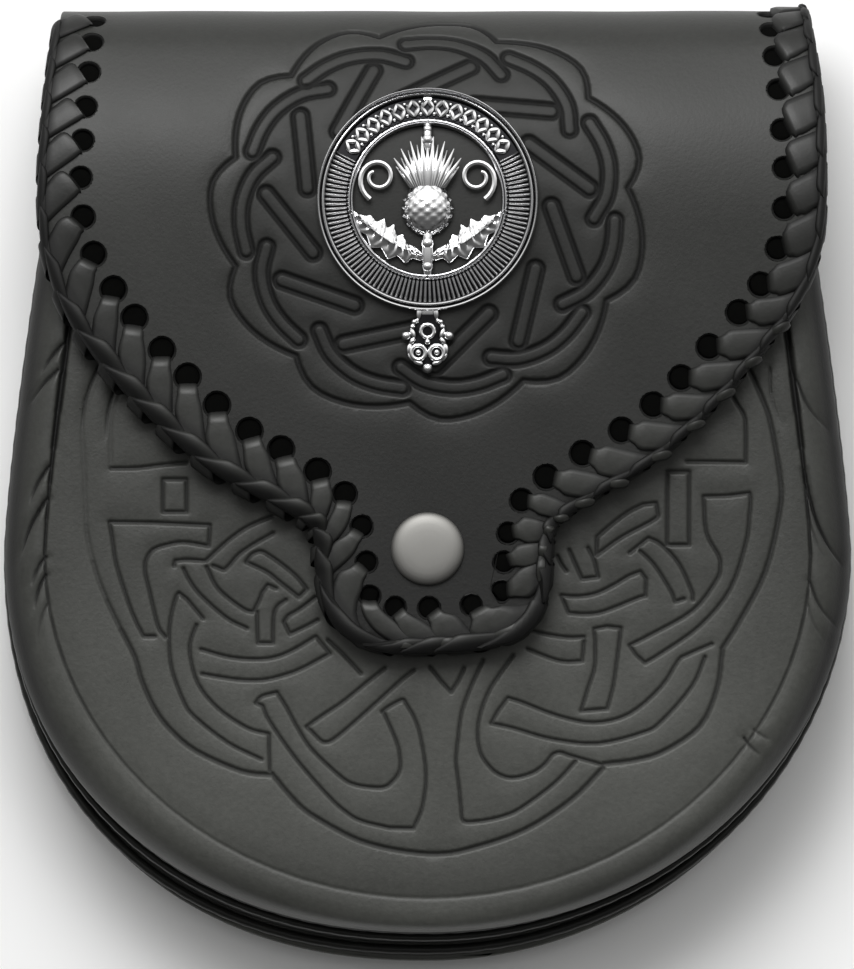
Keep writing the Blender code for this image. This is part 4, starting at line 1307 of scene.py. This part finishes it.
def laceHole(bm, turns, number):
    # the thong's way through one hole, over the edge and back
    margin = spotOn(holePath, holeSpots[number])[2]
    lean, inner, lobeDark, radius, over, shift = (laceLook(number, column) for column in range(1, 7))
    pitch = pitchAt(number)
    slope = math.tan(math.radians(lean))
    half = thong["fill"] * pitch * math.cos(math.radians(lean))
    lip = radius * thong["lip"]
    broad = lip + (0.9 * half - lip) * abs(shift) / 1.1
    start, end = (margin - 0.72 * radius + 0.13) / 0.86, -0.9
    braided = (start - inner) / (start - end)
    widened = float(np.interp(inner, (0.7, 2.4), (0.3, 0.42)))

    def plug(t):
        # the turn of the thong inside the hole, painted fully dark as painted shadow
        fill = radius - thong["plugClear"]
        return {
            "forward": 0.0,
            "inset": margin - fill * math.cos(math.pi * t),
            "out": thong["plugOut"],
            "half": max(0.05, fill * math.sin(math.pi * t)),
            "thick": 0.3,
            "lean": 0.0,
            "dark": 1.0,
        }

    def strip(t):
        # up out of the hole, over its rim and slanting to the edge, where it turns down
        inset = start + (end - start) * t
        return {
            "forward": (margin - inset) * slope + bend(t, (0.05, 0.0), (0.25, shift)),
            "inset": inset,
            "out": bend(t, (0.0, -thong["deep"]), (0.14, 0.3), (0.3, 0.45), (0.8, 0.35), (1.0, 0.0)),
            "half": bend(t, (0.0, lip * 0.9), (0.16, broad), (widened, half), (1.0, half * 0.9)),
            "thick": thong["thick"],
            "lean": lean,
            "sheared": bend(t, (0.3, 0.0), (0.8, 1.0)),
            # painted shade: dark down in the hole and where the strip dives under the braid
            "dark": bend(t, (0.0, 1.0), (0.09, 0.9), (0.15, 0.0), (braided - 0.16, 0.05), (braided, 0.8)),
        }

    def wrap(t):
        # round the edge from the braid to the back
        turn = math.pi * t
        inset = 0.3 - (over + 0.65) * math.sin(turn)
        out = -0.7 - flapShape["leather"] + (flapShape["leather"] + 1.3) * (1 + math.cos(turn)) / 2
        return {
            "forward": pitch * (0.5 + 0.5 * t),
            "inset": inset,
            "out": out + thong["droop"] * droop(inset),
            "half": half * 0.8,
            "thick": thong["thick"],
            "lean": 0.0,
            "sheared": 1.0,
            # painted shade on the turn round the edge
            "dark": thong["wrapDark"],
        }

    def lobe(t):
        # the braid: each lobe starts on top of the last, on a slant, and dives under the next
        rounded = math.sqrt(max(0.0, 1 - max(0.0, 1 - t / 0.12) ** 2))
        slant = math.radians(thong["lobeLean"])
        outer = min(over, thong["lobeOut"])
        wide = (inner + outer) / 2 / math.sin(slant)
        first = (margin - inner) * slope + 0.9 - wide * math.cos(slant)
        high = float(np.interp(inner, (0.5, 2.4), (0.5, 1.15)))
        return {
            "forward": first + thong["lobeLong"] * pitch * t,
            "inset": (inner - outer) / 2 + bend(t, (0.0, 0.1), (1.0, -0.6)),
            "out": bend(t, (0.0, high), (0.2, high), (1.0, 0.0)),
            "half": wide * (0.85 + 0.15 * rounded) * bend(t, (0.3, 1.0), (1.0, 0.8)),
            "thick": 0.15 + thong["lobeThick"] * rounded,
            "lean": thong["lobeLean"],
            # painted shade: the lobe darkens towards its end and on its outer half
            "dark": min(1.0, lobeDark + bend(t, (0.0, 0.2), (0.06, 0.0), (0.35, 0.1), (0.9, 0.95))),
            "outerDark": thong["lobeDark"],
        }

    def bar(t):
        # a short turn of the thong at the end of the strip
        forward, inset, turn = (readTable(thongBars, number, column) for column in (1, 2, 3))
        reach = thong["barLong"] * (t - 0.5)
        inset -= reach * math.sin(math.radians(turn))
        return {
            "forward": forward + reach * math.cos(math.radians(turn)),
            "inset": inset,
            "out": 1.4 + 0.3 * droop(inset) - 0.8 * (2 * t - 1) ** 2,
            "half": thong["barHalf"] * (1 - 0.6 * (2 * t - 1) ** 4),
            "thick": 0.5,
            "lean": 90.0 - turn,
            # painted shade towards the bar's outer end
            "dark": 0.4 * t**3,
        }

    def backStrip(t):
        inset = margin + 2.9 + (0.3 - margin - 2.9) * t
        return {
            "forward": (inset - margin) * slope * 0.5,
            "inset": inset,
            "out": 0.5,
            "half": bend(t, (0.0, 2.6), (1.0, half * 0.9)),
            "thick": 0.42,
            "lean": -lean,
            "sheared": 0.5,
            # painted shade under the flap, darkest at the inner end behind the hole
            "dark": bend(t, (0.3, 1.0), (0.7, 0.2)),
        }

    ribbon(turns, number, plug)
    for guide in (strip, wrap, lobe):
        ribbon(bm, number, guide)
    if thongBars[0][0] <= number <= thongBars[-1][0]:
        ribbon(bm, number, bar)
    ribbon(bm, number, backStrip, -1)


def makeLacing():
    bm, turns = bmesh.new(), bmesh.new()
    for number in range(len(holeSpots)):
        laceHole(bm, turns, number)
    finishPiece("thongTurns", turns, looks["holeShadowLeather"])
    return finishPiece("thongLacing", bm, looks["laceLeather"], ("flap_lacing",), 60)


makeLacing()

beltLoop = {
    "x": 34.0,
    "width": 24.0,
    "columns": 12,
    "rows": 96,
    "leather": 2.2,
    "middleY": 2.0,
    "flat": 64.0,
    "ramp": 6.0,
    "foot": 11.0,
    "footZ": 6.7,
    "corner": 3.0,
    "soft": 0.45,
    "stitches": 7,
    "stitchPitch": 2.9,
    "stitchHalf": 1.15,
    "stitchRadius": 0.32,
}


def makeBeltLoop(name, x, replaced):
    loop = beltLoop
    bm = bmesh.new()
    half = loop["flat"] / 2 + loop["ramp"] + loop["foot"]

    def strap(i, j):
        y = half * (2 * j / loop["rows"] - 1)
        reach = abs(y)
        climb = float(smoothStep(loop["flat"] / 2, loop["flat"] / 2 + loop["ramp"], reach))
        z = loop["leather"] + (loop["footZ"] - loop["leather"]) * climb
        past = max(0.0, loop["corner"] - (half - reach))
        lost = loop["corner"] - math.sqrt(max(0.0, loop["corner"] ** 2 - past**2))
        return (x + (2 * i / loop["columns"] - 1) * (loop["width"] / 2 - lost), loop["middleY"] + y, z)

    gridInto(bm, loop["columns"], loop["rows"], strap)
    thicken(bm, loop["leather"], facesDown)
    soften(bm, [edge for edge in bm.edges if edge.calc_face_angle(0) > 1.2], loop["soft"], 2)
    reach = Vector((loop["stitchHalf"], 0, 0))
    for end in (-1, 1):
        for inset in (2.0, loop["foot"] - 1.5):
            y = loop["middleY"] + end * (half - inset)
            for step in range(loop["stitches"]):
                along = (step - (loop["stitches"] - 1) / 2) * loop["stitchPitch"]
                spot = Vector((x + along, y, loop["footZ"] - loop["leather"] + 0.05))
                join(bm, roundBar(spot - reach, spot + reach, loop["stitchRadius"]))
    return finishPiece(name, bm, looks["pouchLeather"], (replaced,), 50)


makeBeltLoop("leftBeltLoop", -beltLoop["x"], "belt_loop_left")
makeBeltLoop("rightBeltLoop", beltLoop["x"], "belt_loop_right")


snap = {"y": -12.1, "seat": 42.6, "under": 39.6, "steps": 72}
# radius, and height above the seat
snapProfile = (
    (0.0, 1.62), (1.8, 1.6), (3.4, 1.54), (4.7, 1.44), (5.6, 1.28), (6.2, 1.06), (6.6, 0.78), (6.85, 0.48),
    (6.92, 0.2), (6.6, 0.0), (1.9, 0.0),
)
# radius, and height above the flap's underside
socketProfile = (
    (1.9, 0.0), (4.9, 0.0), (5.2, -0.3), (5.2, -1.0), (4.9, -1.2), (2.25, -1.2), (2.25, -0.3), (0.0, -0.3),
)


def turned(profile, steps):
    bm = bmesh.new()
    verts = [bm.verts.new((radius, 0, height)) for radius, height in profile]
    edges = [bm.edges.new(pair) for pair in zip(verts, verts[1:])]
    bmesh.ops.spin(
        bm, geom=verts + edges, axis=(0, 0, 1), cent=(0, 0, 0), angle=2 * math.pi, steps=steps,
        use_merge=True,
    )
    bmesh.ops.remove_doubles(bm, verts=bm.verts, dist=0.005)
    bmesh.ops.recalc_face_normals(bm, faces=bm.faces)
    return bm


def makeSnapCap():
    top = [(radius, snap["seat"] + height) for radius, height in snapProfile]
    bottom = [(radius, snap["under"] + height) for radius, height in socketProfile]
    bm = turned(top + bottom, snap["steps"])
    bmesh.ops.translate(bm, verts=bm.verts, vec=(0, snap["y"], 0))
    return finishPiece("snapCap", bm, looks["satinNickel"], ("snap_cap",), 40)


makeSnapCap()
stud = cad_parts["snap_stud"]
stud.data.materials.clear()
stud.data.materials.append(looks["darkSteel"])


# Heights in the badge are above the flap's outer face.
badge = {
    "up": 54.2,
    "gap": 0.3,
    "columns": 780,
    "ribs": 130,
    "ribHeight": 0.55,
    "plainFrom": 28.0,
    "plainTo": 152.0,
    "plainSunk": 0.15,
    "postUps": (37.0, 73.4),
}
# The ring of the badge; its middle band is ribbed, or plain with a row of lozenges at the top.
badgeProfile = (
    # radius, height, ribbed
    (21.0, 0.0, 0), (21.1, 1.5, 0), (21.0, 1.9, 0), (20.8, 2.05, 0), (20.6, 1.9, 0), (20.52, 1.3, 0),
    (20.3, 0.9, 0), (20.15, 1.3, 0), (20.05, 1.75, 0), (19.85, 1.9, 0), (19.65, 1.75, 0), (19.55, 1.1, 0),
    (19.3, 0.85, 1), (18.0, 0.9, 1), (16.5, 0.9, 1), (15.5, 0.9, 1),
    (15.3, 1.0, 0), (15.2, 1.5, 0), (15.0, 1.7, 0), (14.8, 1.5, 0), (14.68, 1.0, 0),
    (14.52, 1.5, 0), (14.32, 1.7, 0), (14.15, 1.5, 0), (14.1, 0.0, 0),
)


def closeRing(part, dist):
    bmesh.ops.remove_doubles(part, verts=part.verts, dist=dist)
    bmesh.ops.recalc_face_normals(part, faces=part.faces)
    return part


def badgeRing():
    part = bmesh.new()
    last = len(badgeProfile)

    def skin(i, j):
        angle = 360 * i / badge["columns"]
        turn = math.radians(angle)
        radius, height, ribbed = badgeProfile[j % last]
        if ribbed and badge["plainFrom"] < angle < badge["plainTo"]:
            height -= badge["plainSunk"]
        elif ribbed:
            height += badge["ribHeight"] * (0.5 + 0.5 * math.cos(turn * badge["ribs"])) ** 0.7
        return (radius * math.cos(turn), radius * math.sin(turn), height)

    gridInto(part, badge["columns"], last, skin)
    return closeRing(part, 0.003)


def ball(bm, spot, radius, around, rings):
    part = bmesh.new()
    bmesh.ops.create_uvsphere(part, u_segments=around, v_segments=rings, radius=radius)
    bmesh.ops.translate(part, verts=part.verts, vec=spot)
    join(bm, part)


lozenge = {
    "count": 13,
    "clear": 7.0,  # degrees between the row and the ribs
    "radius": 17.35,
    "z": 1.15,
    "high": 1.55,
    "wide": 1.15,
    "frame": 0.36,
    "pelletRadii": (16.2, 18.5),
    "pelletZ": 1.05,
    "pellet": 0.42,
}


def lozenges():
    # a row of raised frames round the plain arc, with a pellet between each two
    part = bmesh.new()
    last = lozenge["count"] - 1
    start = badge["plainFrom"] + lozenge["clear"]
    pitch = (badge["plainTo"] - lozenge["clear"] - start) / last
    for number in range(lozenge["count"]):
        angle = math.radians(start + pitch * number)
        across, up = math.cos(angle), math.sin(angle)
        middle = Vector((lozenge["radius"] * across, lozenge["radius"] * up, lozenge["z"]))
        out, side = Vector((across, up, 0)) * lozenge["high"], Vector((-up, across, 0)) * lozenge["wide"]
        corners = [middle + out, middle + side, middle - out, middle - side]
        for a, b in zip(corners, corners[1:] + corners[:1]):
            join(part, roundBar(a, b, lozenge["frame"], 6, 4))
        if number < last:
            angle += math.radians(pitch / 2)
            for radius in lozenge["pelletRadii"]:
                spot = (radius * math.cos(angle), radius * math.sin(angle), lozenge["pelletZ"])
                ball(part, spot, lozenge["pellet"], 8, 6)
    return part


def tube(points, radii, around=8):
    # a round rod through the points, with its radius at each
    part = bmesh.new()
    last = len(points) - 1

    def skin(i, j):
        ahead = (points[min(j + 1, last)] - points[max(j - 1, 0)]).normalized()
        side = ahead.cross(Vector((0, 0, 1))).normalized()
        up = side.cross(ahead)
        turn = 2 * math.pi * i / around
        return points[j] + (side * math.cos(turn) + up * math.sin(turn)) * radii[j]

    gridInto(part, around, last, skin)
    closeTube(part)
    return part


def circleTube(x, y, z, radius, thick, steps=28, around=10):
    part = bmesh.new()

    def skin(i, j):
        turn, roll = 2 * math.pi * j / steps, 2 * math.pi * i / around
        reach = radius + thick * math.cos(roll)
        return (x + reach * math.cos(turn), y + reach * math.sin(turn), z + thick * math.sin(roll))

    gridInto(part, around, steps, skin)
    return closeRing(part, 0.002)


leafShape = {
    "along": 96,
    "around": 24,
    "foot": (0.6, -10.4),
    "long": 14.6,
    "rise": 8.4,
    "lean": 16.0,
    "turnFrom": -30.0,
    "turnBy": 88.0,
    "half": 3.3,
    "teeth": 5.5,
    "veins": 11,
}


def leaf(side):
    # a toothed leaf with a ridge and veins
    part = bmesh.new()
    shape = leafShape
    footX, footY = shape["foot"]

    def skin(i, j):
        share = j / shape["along"]
        angle = math.radians(shape["turnFrom"] + shape["turnBy"] * share)
        spineX = footX + shape["long"] * share * math.cos(math.radians(shape["lean"]))
        spine = Vector((spineX, footY + shape["rise"] * share**1.6))
        across = Vector((-math.sin(angle), math.cos(angle)))
        tooth = 1 - abs(2 * ((share * shape["teeth"]) % 1) - 1)
        half = shape["half"] * math.sin(math.pi * (0.06 + 0.92 * share)) * (0.62 + 0.42 * tooth)
        turn = 2 * math.pi * i / shape["around"]
        v, rise = math.cos(turn), math.sin(turn)
        spot = spine + across * half * v
        z = 0.3
        if rise > 0:
            vein = abs(((share * shape["veins"] - abs(v) * 1.3) % 1) - 0.5) * 2
            vein *= (abs(v) > 0.15) * (1 - v**4)
            ridge = 0.75 * math.exp(-((v / 0.16) ** 2))
            z = 0.9 + 0.75 * math.sqrt(max(0.0, 1 - v * v)) + ridge * 0.5 - 0.3 * vein
        return (side * spot.x, spot.y, z)

    gridInto(part, shape["around"], shape["along"], skin)
    closeTube(part)
    return part


bulb = {"y": -1.6, "z": 0.6, "size": (4.9, 5.2, 3.0), "scalesAround": 6, "scalesUp": 3.2, "swell": 0.10}


def thistleBulb():
    # a ball of overlapping scales, narrower towards its top
    part = bmesh.new()
    bmesh.ops.create_uvsphere(part, u_segments=72, v_segments=48, radius=1.0)
    across, up, out = bulb["size"]
    for vert in part.verts:
        x, z, y = vert.co
        turn = math.atan2(x, z) / math.pi * bulb["scalesAround"]
        a, b = ((turn + way * y * bulb["scalesUp"]) % 1 - 0.5 for way in (1, -1))
        scale = 1 - 2 * max(abs(a), abs(b))
        swell = 1 + bulb["swell"] * scale**0.6 - 0.06
        wide = 1 - 0.12 * max(0.0, y)
        high = up * y * (1 + 0.02 * scale)
        vert.co = (across * x * swell * wide, bulb["y"] + high, bulb["z"] + out * z * swell)
    bmesh.ops.recalc_face_normals(part, faces=part.faces)
    return part


tuftShape = {"count": 17, "from": 148.0, "to": 32.0, "long": 8.6, "radius": 0.62, "foot": 3.0, "footY": 2.4}


def tuft():
    # the flower above the bulb: a fan of tapering petals, every other one longer
    part = bmesh.new()
    for number in range(tuftShape["count"]):
        share = number / (tuftShape["count"] - 1)
        aside = 2 * share - 1
        odd = number % 2
        angle = math.radians(tuftShape["from"] + (tuftShape["to"] - tuftShape["from"]) * share)
        length = tuftShape["long"] + 1.1 * odd - 1.2 * abs(aside)
        foot = Vector((tuftShape["foot"] * aside, tuftShape["footY"], 1.9 - 0.5 * abs(aside)))
        tip = Vector((length * math.cos(angle) * 0.95, 2.2 + length * math.sin(angle), 1.1 + 0.5 * odd))
        stops = [k / 10 for k in range(11)]
        points = [foot.lerp(tip, t) + Vector((0, 0, 0.7 * math.sin(math.pi * t))) for t in stops]
        join(part, tube(points, [tuftShape["radius"] * (1 - 0.85 * t**1.6) for t in stops]))
    return part


curl = {
    "middle": (8.9, 3.6),
    "drift": (1.2, 0.8),
    "z": 1.2,
    "from": -60.0,
    "turn": 500.0,
    "reach": 3.4,
    "end": 0.7,
    "radius": 0.62,
    "thinning": 0.2,
}


def tendril(side):
    # a curl at either side of the flower, fixed to the ring
    points, radii = [], []
    for k in range(33):
        share = k / 32
        turn = math.radians(curl["from"] + curl["turn"] * share)
        reach = curl["reach"] * (1 - share) + curl["end"]
        x, y = (start + drift * share for start, drift in zip(curl["middle"], curl["drift"]))
        points.append(Vector((side * (x + reach * math.cos(turn)), y + reach * math.sin(turn), curl["z"])))
        radii.append(curl["radius"] - curl["thinning"] * share)
    return tube(points, radii)


# The small piece that hangs under the ring.
dropOutline = (
    # up, half width
    (-20.4, 1.5), (-22.6, 1.7), (-23.6, 2.6), (-24.6, 3.1), (-26.2, 2.5), (-27.4, 3.3), (-29.2, 3.6),
    (-30.6, 2.6), (-31.2, 1.0),
)
dropRings = (
    # x, up, z, radius, thickness
    (0, -24.9, 1.1, 1.25, 0.42), (-1.75, -29.0, 1.15, 1.35, 0.45), (1.75, -29.0, 1.15, 1.35, 0.45),
)
dropBalls = (
    # x, up, radius
    (-4.1, -25.8, 0.95), (4.1, -25.8, 0.95), (-1.75, -29.0, 0.6), (1.75, -29.0, 0.6), (0.0, -27.0, 0.6),
    (0.0, -32.0, 1.0), (-2.5, -23.2, 0.6), (2.5, -23.2, 0.6),
)


def drop():
    part = bmesh.new()
    for side in (-1, 1):
        rim = [Vector((side * half, up, 0.9)) for up, half in dropOutline]
        for a, b in zip(rim, rim[1:]):
            join(part, roundBar(a, b, 0.42, 8, 4))
    plate = bmesh.new()
    around, along, last = 12, 24, len(dropOutline) - 1

    def skin(i, j):
        up, half = (np.interp(j / along * last, range(last + 1), column) for column in zip(*dropOutline))
        rise = math.sin(2 * math.pi * i / around)
        across = math.cos(2 * math.pi * i / around)
        return (half * across, up, 0.55 + 0.3 * math.copysign(abs(rise) ** 0.3, rise))

    gridInto(plate, around, along, skin)
    closeTube(plate)
    join(part, plate)
    for row in dropRings:
        join(part, circleTube(*row))
    for x, up, radius in dropBalls:
        ball(part, (x, up, 1.1), radius, 18, 12)
    return part


# What stands above and below the thistle: two rods, and the balls on them.
badgeRods = (
    # foot, top, radius
    (-14.6, -5.5, 0.85),
    (9.0, 14.6, 0.7),
)
badgeBalls = ((11.3, 1.15), (13.2, 0.95), (-8.2, 1.35), (-12.6, 1.2))


def makeBadge():
    bm = badgeRing()
    for part in (lozenges(), thistleBulb(), tuft(), leaf(-1), tendril(-1), leaf(1), tendril(1)):
        join(bm, part)
    for foot, top, radius in badgeRods:
        join(bm, roundBar(Vector((0, foot, 1.0)), Vector((0, top, 1.0)), radius, 12, 12))
    for up, radius in badgeBalls:
        ball(bm, (0, up, 1.1), radius, 20, 14)
    join(bm, drop())
    coords = places(bm)
    reach = np.hypot(coords[:, 0], coords[:, 1])
    band = (reach > 14.2) & (reach < 20.7)
    marks = np.where(band, 1.1 - smoothStep(0.95, 1.5, coords[:, 2]), 0)
    marks = np.where(coords[:, 1] < -21.5, 1.0 - smoothStep(0.85, 1.25, coords[:, 2]), marks)
    marks = np.clip(marks + 1.0 - smoothStep(0.2, 0.95, coords[:, 2]), 0, 1)
    move(bm, flapPlace(coords[:, 0], coords[:, 1] + badge["up"], coords[:, 2] + badge["gap"]))
    for up in badge["postUps"]:
        foot, head = Vector(flapPlace(0, up, -3.0)), Vector(flapPlace(0, up, 1.2))
        post = roundBar(foot, head, 1.0, 12, 4)
        marks = np.concatenate((marks, np.zeros(len(post.verts))))
        join(bm, post)
    return finishPiece("castBadge", bm, looks["castSilver"], ("badge",), 40, marks)


makeBadge()

studio = {
    "floorSize": 3.0,
    "floorGrey": 0.95,
    "floorRough": 0.9,
    "skyLow": 0.1,
    "skyHigh": 1.95,
    "skyTint": (1.0, 1.0, 0.99, 1.0),
    "horizon": 0.25,
    "keyPower": 7.5,
    "keySize": 0.5,
    "keyPlace": (-0.1, 0.6, 0.9),
    "cameraPlace": (-0.0001, 0.0001, 1.2),
}


def makeFloor():
    bm = bmesh.new()
    bmesh.ops.create_grid(bm, x_segments=2, y_segments=2, size=studio["floorSize"] / 2)
    mesh = bpy.data.meshes.new("floor")
    bm.to_mesh(mesh)
    bm.free()
    material = bpy.data.materials.new("paleFloor")
    material.use_nodes = True
    shader = material.node_tree.nodes["Principled BSDF"]
    shader.inputs["Base Color"].default_value = (*[studio["floorGrey"]] * 3, 1.0)
    shader.inputs["Roughness"].default_value = studio["floorRough"]
    mesh.materials.append(material)
    floor = newObject("floor", mesh)


def makeLight():
    world = bpy.data.worlds.new("studio")
    bpy.context.scene.world = world
    world.use_nodes = True
    tree = world.node_tree
    wire = Wire(tree)
    way = wire.add("ShaderNodeTexCoord", {}, {}, 0)
    # brighter the further a direction points up the picture, and dim near the horizon
    reach = wire.add("ShaderNodeSeparateXYZ", {}, {0: way}, 1).between(-0.8, 1.0, 0.0, 1.0)
    rise = wire.add("ShaderNodeSeparateXYZ", {}, {0: way}, 2).between(0.0, 0.65, studio["horizon"], 1.0)
    sky = (studio["skyLow"] + reach * reach * studio["skyHigh"]) * rise
    background = tree.nodes["Background"]
    background.inputs["Color"].default_value = studio["skyTint"]
    wire.feed(background.inputs["Strength"], sky)
    lamp = bpy.data.lights.new("key", "AREA")
    lamp.energy = studio["keyPower"]
    lamp.size = studio["keySize"]
    key = newObject("key", lamp)
    key.location = studio["keyPlace"]
    key.rotation_euler = (-Vector(studio["keyPlace"])).to_track_quat("-Z", "Y").to_euler()


def makeCamera():
    data = bpy.data.cameras.new("camera")
    data.type = "ORTHO"
    data.ortho_scale = chart["rows"] * chart["mmPerPixel"] * mm
    camera = newObject("camera", data)
    camera.location = studio["cameraPlace"]
    bpy.context.scene.camera = camera
    bpy.context.scene.view_settings.view_transform = "Standard"


makeFloor()
makeLight()
makeCamera()
note("studio")
